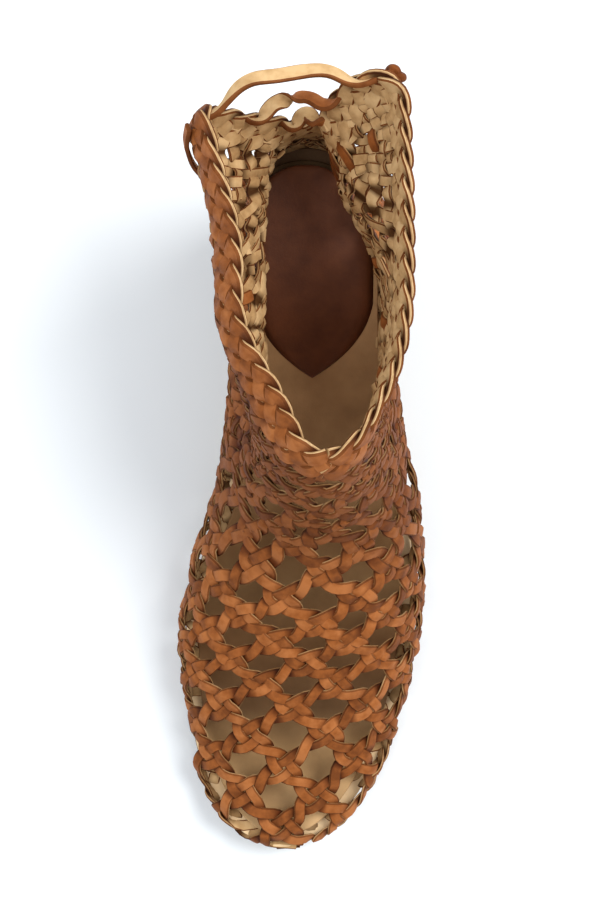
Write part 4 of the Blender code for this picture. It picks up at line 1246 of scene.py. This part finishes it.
def lace_tails():
    """The two free ends outside the medial band, each with its knot."""
    for name, rows in TAILS.items():
        route = tail_route(rows)
        line = smooth_line(route, TAIL_POINTS)
        normals = np.array([COLLAR.outward(*rows[1][:2])] * len(line))
        strips = Strips(f"lace_end_{name}")
        strips.add(line, normals, TAIL_WIDTH, LACE_THICKNESS, TAIL_TONE, np.zeros(len(line)))
        strand = strips.build(LACE_FINISH)
        way = unit(line[-1] - line[-2])
        middle = line[-1] + way * (KNOT_SIZE[2] / 2 + GAP)
        normal = COLLAR.outward(*rows[-1][:2])
        end = overhand_knot(f"end_knot_{name}", middle, normal, way, KNOT_SIZE, f"lace_knot_{name}")
        belongs(strand, f"lace_tail_{name}")


# ---------------------------------------------------------------- sole, insole and heel

def stations(start, end, count):
    """Places along Y, closer together towards the rounded ends."""
    u = (1 - np.cos(np.linspace(0, math.pi, count))) / 2
    return start + (end - start) * u


def slab(name, profile, finish, marks):
    """A slab along the sole's upper face. profile lists how far it lies in from the sole's edge and over that
    face, from the lower middle round the edge to the upper middle; marks gives the finish of each step."""
    rings = []
    for inset, height in profile:
        ys = stations(TOE_TIP_Y + inset + SLAB_END, HEEL_BACK_Y - inset - SLAB_END, SLAB_STATIONS)
        lateral = [(sole_x(y, LATERAL, inset), y) for y in ys]
        medial = [(sole_x(y, MEDIAL, inset), y) for y in ys[-2:0:-1]]
        rings.append([(x, y, SOLE_TOP_Z(y) + height) for x, y in lateral + medial])
    return skin(name, rings, finish, marks, 30.0)


def insole():
    low, high = INSOLE_LOW, INSOLE_LOW + INSOLE_THICKNESS
    profile = (
        (2.0, low), (0.5, low), (0.0, low + 0.5), (0.0, high - 0.6),
        (0.4, high - 0.1), (1.2, high), (6.0, high), (14.0, high),
    )
    profile = [(INSOLE_INSET + inset, height) for inset, height in profile]
    made = slab("insole_leather", profile, [insole_finish()], [0] * len(profile))
    belongs(made, "insole")


def outsole():
    low = -SOLE_THICKNESS
    profile = (
        (8.0, low), (1.2, low), (0.35, low + 0.25), (0.0, low + 0.9),
        (0.0, -0.9), (0.3, -0.3), (1.0, 0.0), (8.0, 0.0),
    )
    finish = [
        sole_leather("sole_underside", (0.50, 0.33, 0.17), (0.40, 0.25, 0.12), roughness=0.6),
        sole_leather("sole_edge", (0.115, 0.042, 0.018), (0.07, 0.026, 0.012), roughness=0.4, spots=300.0),
        sole_leather("sole_upper_face", (0.60, 0.42, 0.23), (0.52, 0.34, 0.17), roughness=0.75),
    ]
    belongs(slab("sole_leather", profile, finish, [0, 0, 1, 1, 1, 1, 2, 2]), "outsole")


def margin():
    """The natural leather that the ends of the strips are lasted on, between sole and insole."""
    low, high = 0.15, MARGIN_THICKNESS + 0.1
    profile = ((12.0, low), (0.8, low), (0.3, low + 0.4), (0.3, high - 0.5), (0.8, high), (12.0, high))
    # the cream is lightened as painted light, since it lies in the weave's shade; the heel color is painted
    # shade
    finish = sole_leather("lasting_margin_leather", (0.84, 0.63, 0.38), (0.76, 0.54, 0.30), roughness=0.8,
                          spots=120.0, heel=(0.16, 0.09, 0.045))
    belongs(slab("lasting_margin", profile, [finish], [0] * len(profile)), "upper")


def heel_outline(share, swell, count=41):
    """The heel's outline on the plan at this share of the way down, from the breast's medial corner round the
    back to its lateral corner, scaled by swell about its own middle."""
    scale = 1 - (1 - HEEL_TAPER) * share - HEEL_WAIST * math.sin(math.pi * share)
    end = HEEL_BACK_Y - HEEL_INSET
    u = np.sin(np.linspace(0, math.pi / 2, count))
    ys = HEEL_BREAST_Y + (end - HEEL_BREAST_Y) * u
    medial = [(sole_x(y, MEDIAL, HEEL_INSET), y) for y in ys]
    lateral = [(sole_x(y, LATERAL, HEEL_INSET), y) for y in ys[-2::-1]]
    outline = np.array(medial + lateral) * scale
    middle = outline.mean(axis=0)
    return middle + (outline - middle) * swell


def heel_layers():
    """The stacked block: layers of leather, each with a slightly rounded edge, in three tones by turns."""
    finish = []
    for k, tone in enumerate((1.0, 0.8, 1.15)):
        base, dark = (0.20 * tone, 0.098 * tone, 0.045 * tone), (0.15 * tone, 0.07 * tone, 0.032 * tone)
        finish.append(sole_leather(f"stacked_leather_{k}", base, dark, roughness=0.42, spots=260.0))
    low = LIFT_THICKNESS + GAP / 2
    rings, marks = [], []
    for layer in range(HEEL_LAYERS):
        start, end = layer / HEEL_LAYERS, (layer + 1) / HEEL_LAYERS
        steps = [(start + off, swell) for off, swell in LAYER_EDGE]
        steps += [(end - off, swell) for off, swell in LAYER_EDGE[::-1]]
        for up, swell in steps:
            outline = heel_outline(1 - up, swell)
            tops = [SOLE_TOP_Z(y) - SOLE_THICKNESS - GAP / 2 for _, y in outline]
            rings.append([(x, y, low + (top - low) * up) for (x, y), top in zip(outline, tops)])
            marks.append(layer % len(finish))
    belongs(skin("stacked_heel", rings, finish, marks, 25.0, across=1), "heel_block")


def heel_piece():
    """The rubber piece that meets the floor."""
    finish, tree, shader = node_material("heel_rubber_dark", roughness=0.75)
    shader.inputs["Base Color"].default_value = (0.022, 0.016, 0.013, 1)
    add_bump(tree, shader, ((noise(tree, 900.0, 2.0), 1.0),), distance=0.0003, strength=0.3)
    steps = ((0.0, 0.975), (0.5, 0.995), (1.0, 1.0), (LIFT_THICKNESS - 0.4, 1.0), (LIFT_THICKNESS, 0.99))
    rings = [[(x, y, z) for x, y in heel_outline(1.0, swell)] for z, swell in steps]
    made = skin("heel_top_piece", rings, [finish], [0] * len(steps), 30.0, across=1)
    belongs(made, "heel_lift")


def pad_edge(y, side):
    """The heel pad's edge: a rounded point in front, the heel's own outline behind."""
    taper = max(0.0, 1 - (y - PAD_TIP_Y) / PAD_TAPER_LENGTH)
    half = PAD_HALF_WIDTH * (1 - taper**PAD_POINT)
    if side == MEDIAL:
        return max(PAD_TIP_X - half, sole_x(y, MEDIAL, PAD_INSET))
    return min(PAD_TIP_X + half, sole_x(y, LATERAL, PAD_INSET))


def pad():
    """The dark leather under the heel: a thin sheet with a rounded edge."""
    back = HEEL_BACK_Y - PAD_INSET
    low = INSOLE_LOW + INSOLE_THICKNESS + 0.1
    points, faces = [], []
    for y in stations(PAD_TIP_Y, back, PAD_ROWS):
        left, right = pad_edge(y, MEDIAL), pad_edge(y, LATERAL)
        for u in np.linspace(0, 1, PAD_COLUMNS):
            edge = min(min(u, 1 - u) * (right - left), y - PAD_TIP_Y, back - y)
            height = (PAD_THICKNESS + GAP) * (1 - math.exp(-edge / PAD_EDGE))
            points.append((left + (right - left) * u, y, SOLE_TOP_Z(y) + low + height))
    for i in range(PAD_ROWS - 1):
        for k in range(PAD_COLUMNS - 1):
            a = i * PAD_COLUMNS + k
            faces.append((a, a + 1, a + PAD_COLUMNS + 1, a + PAD_COLUMNS))
    piece = add_mesh("heel_pad_leather", points, faces, [pad_finish()], sharp=60.0)
    solid = piece.modifiers.new("under", "SOLIDIFY")
    solid.thickness = 0.2 * MM
    solid.offset = -1
    belongs(piece, "heel_pad")


# ---------------------------------------------------------------- camera, light and floor

def camera():
    data = bpy.data.cameras.new("camera")
    data.sensor_fit = "VERTICAL"
    data.sensor_height = 36.0
    data.lens = LENS
    data.clip_start = 0.01
    made = bpy.data.objects.new("camera", data)
    bpy.context.scene.collection.objects.link(made)
    forward = (CAMERA_AIM - CAMERA_PLACE).normalized()
    right = forward.cross(Vector((0, 1, 0))).normalized()
    matrix = Matrix((right, right.cross(forward), -forward)).transposed().to_4x4()
    matrix.translation = CAMERA_PLACE
    made.matrix_world = matrix
    bpy.context.scene.camera = made


def area_light(name, place, aim, size, power, color):
    data = bpy.data.lights.new(name, "AREA")
    data.shape = "DISK"
    data.size = size
    data.energy = power
    data.color = color
    made = bpy.data.objects.new(name, data)
    bpy.context.scene.collection.objects.link(made)
    made.location = place
    way = Vector(aim) - Vector(place)
    made.rotation_euler = way.to_track_quat("-Z", "Y").to_euler()


def studio():
    """A white floor, an even sky, a key light behind the lateral side and a fill light on the medial one."""
    bpy.ops.mesh.primitive_plane_add(size=6.0, location=(0, 0, -0.0002))
    floor = bpy.context.object
    floor.name = "floor"
    made, _, shader = node_material("floor_white", roughness=0.9)
    shader.inputs["Base Color"].default_value = (0.87, 0.915, 0.95, 1)
    shader.inputs["Specular IOR Level"].default_value = 0.1
    floor.data.materials.append(made)
    world = bpy.data.worlds.new("studio")
    bpy.context.scene.world = world
    world.use_nodes = True
    background = world.node_tree.nodes["Background"]
    background.inputs["Color"].default_value = (0.96, 0.97, 0.99, 1)
    background.inputs["Strength"].default_value = 0.68
    area_light("key", place=(0.75, 0.3, 1.35), aim=(0, -0.08, 0.03), size=0.9, power=19.0,
               color=(1.0, 0.99, 0.97))
    area_light("fill", place=(-0.75, -0.1, 1.35), aim=(0, -0.08, 0.05), size=1.0, power=8.0,
               color=(0.95, 0.98, 1.0))


camera()
studio()

lace_tails()
lace_stops()
for name, row in zip(LACE_NAMES, LACES[1:]):
    lace_bar(name, *row)
weave()
plait()
turned_strips()
margin()
insole()
outsole()
pad()
heel_layers()
heel_piece()

bpy.context.scene.view_settings.view_transform = "Standard"
